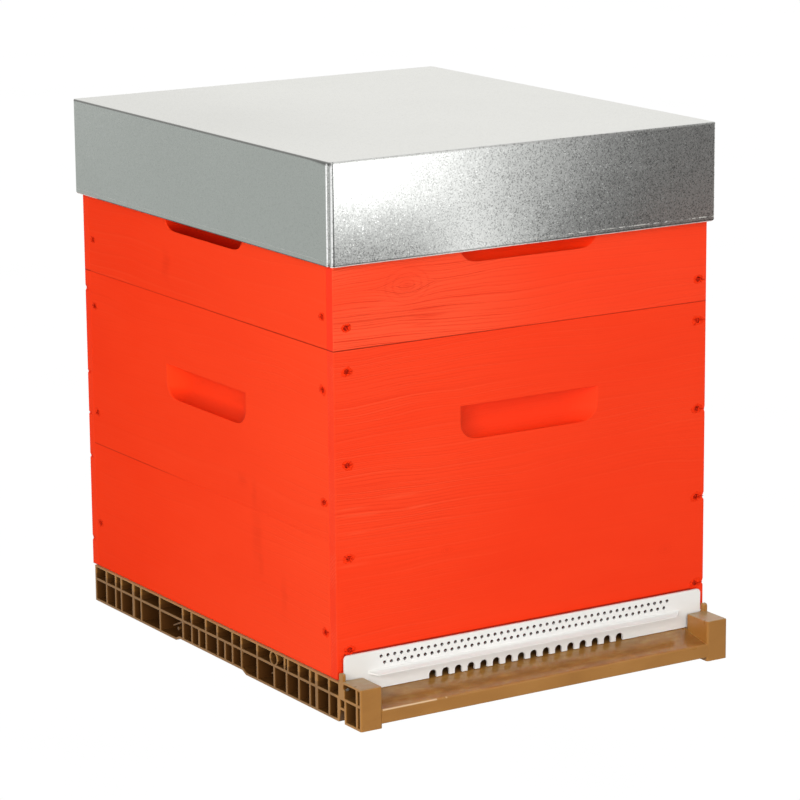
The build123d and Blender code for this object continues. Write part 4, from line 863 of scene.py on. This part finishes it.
def reflector():
    """Card that only shiny surfaces see: bright at its left, dark at its right, a darker foot."""
    m, t = material("reflector_card")
    uv = t.new("ShaderNodeTexCoord").outputs["UV"]
    u, v, w = t.xyz(uv)
    across = t.ramp(u, [(0.03, (0.07,) * 3), (0.15, (0.07,) * 3), (0.22, (1.0,) * 3), (0.335, (0.88,) * 3),
                        (0.40, (0.39,) * 3), (0.49, (0.21,) * 3), (0.585, (0.06,) * 3), (1.0, (0.07,) * 3)])
    foot = t.mul(t.rng(v, 0.64, 0.48), t.rng(u, 0.412, 0.366))
    lower = t.mul(t.rng(v, 0.65, 0.45), t.mul(t.rng(u, 0.455, 0.49), t.rng(u, 0.605, 0.57)))
    gleam = t.mul(t.rng(v, 0.53, 0.46), t.mul(t.rng(u, 0.385, 0.405), t.rng(u, 0.450, 0.420)))
    level = t.mul(t.mul(t.mul(across, 3.0), t.madd(foot, -0.87, 1.0)), t.madd(lower, -0.52, t.madd(gleam, 0.42, 1.0)))
    warm = t.mul(t.mul(t.rng(u, 0.57, 0.63), t.rng(v, 0.56, 0.47, 0.10, 1.0)),
                 t.rng(t.noise(t.vec(t.mul(u, 14.0), t.mul(v, 9.0), 0.0), 1.0, 1.0, 0.5), 0.38, 0.62, 0.50, 1.0))
    out = t.new("ShaderNodeOutputMaterial")
    t.nt.links.new(shine(t, t.vec(t.mul(level, t.madd(warm, 0.30, 0.99)), level, t.mul(level, t.madd(warm, -0.08, 0.985)))), out.inputs[0])
    return m


yc = -0.95
CARD = plane("reflector_card", [(-0.20, yc, 0.001), (1.25, yc, 0.001), (1.25, yc, 0.62), (-0.20, yc, 0.62)], reflector())
gloss_only(CARD)


def side_reflector():
    """Curved bright card around the front left, for the folded corners of the roof."""
    m, t = material("side_card")
    x, y, z = t.xyz(t.coords())
    turn = t.math("ARCTAN2", t.sub(-0.236, y), t.sub(-0.22, x))
    level = t.mul(t.rng(z, 0.0, 0.5, 1.35, 1.6), t.rng(turn, 0.10, 0.26, 0.60, 1.0))
    out = t.new("ShaderNodeOutputMaterial")
    t.nt.links.new(shine(t, t.vec(level, level, level)), out.inputs[0])
    return m


def curved_card(name, centre, radius, a0, a1, z0, z1, mat):
    n = 16
    pts, faces = [], []
    for k in range(n + 1):
        a = math.radians(a0 + (a1 - a0) * k / n)
        c, s = centre[0] + radius * math.cos(a), centre[1] + radius * math.sin(a)
        pts += [(c, s, z0), (c, s, z1)]
        if k:
            faces.append((2 * k - 2, 2 * k, 2 * k + 1, 2 * k - 1))
    me = bpy.data.meshes.new(name)
    me.from_pydata(pts, [], faces)
    me.materials.append(mat)
    o = bpy.data.objects.new(name, me)
    scene.collection.objects.link(o)
    return o


SIDE = curved_card("side_card", (-0.22, -0.236), 1.25, 152.0, 266.0, 0.002, 0.60, side_reflector())
gloss_only(SIDE)

world = bpy.data.worlds.new("studio")
scene.world = world
wt = Tree(world)
lp = wt.new("ShaderNodeLightPath")
sky = wt.new("ShaderNodeTexCoord").outputs["Generated"]
sx, sy, sz = wt.xyz(sky)


def background(colour):
    n = wt.new("ShaderNodeBackground")
    wt.put(n.inputs["Color"], colour)
    n.inputs["Strength"].default_value = 1.0
    return n.outputs[0]


dome = background(wt.ramp(sz, [(0.0, (0.55, 0.55, 0.545)), (0.30, (0.50, 0.50, 0.495)), (1.0, (0.42, 0.42, 0.415))]))
walls = background(wt.ramp(sz, [(0.10, (0.945, 0.935, 0.905)), (0.27, (1.025, 1.015, 0.975)), (0.60, (0.75, 0.75, 0.74)), (1.0, (0.85, 0.85, 0.84))]))
plain = background((1.0, 1.0, 1.0))
look = blend(wt, lp.outputs["Is Glossy Ray"], dome, walls)
look = blend(wt, lp.outputs["Is Camera Ray"], look, plain)
wout = wt.new("ShaderNodeOutputWorld")
wt.nt.links.new(look, wout.inputs[0])


def area(name, loc, aim, sx, sy, power, colour=(1, 1, 1)):
    d = bpy.data.lights.new(name, "AREA")
    d.shape = "RECTANGLE"
    d.size, d.size_y = sx, sy
    d.energy = power
    d.color = colour
    o = bpy.data.objects.new(name, d)
    scene.collection.objects.link(o)
    o.location = loc
    o.rotation_mode = "QUATERNION"
    o.rotation_quaternion = (Vector(aim) - Vector(loc)).to_track_quat("-Z", "Y")
    o.visible_glossy = False
    return o


area("key_softbox", (-1.3, -3.6, 1.05), (0, -0.2, 0.25), 1.6, 1.0, 70.0)
area("side_softbox", (-2.5, -1.25, 1.25), (0, 0, 0.25), 1.2, 0.9, 43.0)
area("back_softbox", (2.6, 2.4, 1.6), (0, 0, 0.25), 2.0, 1.4, 75.0)
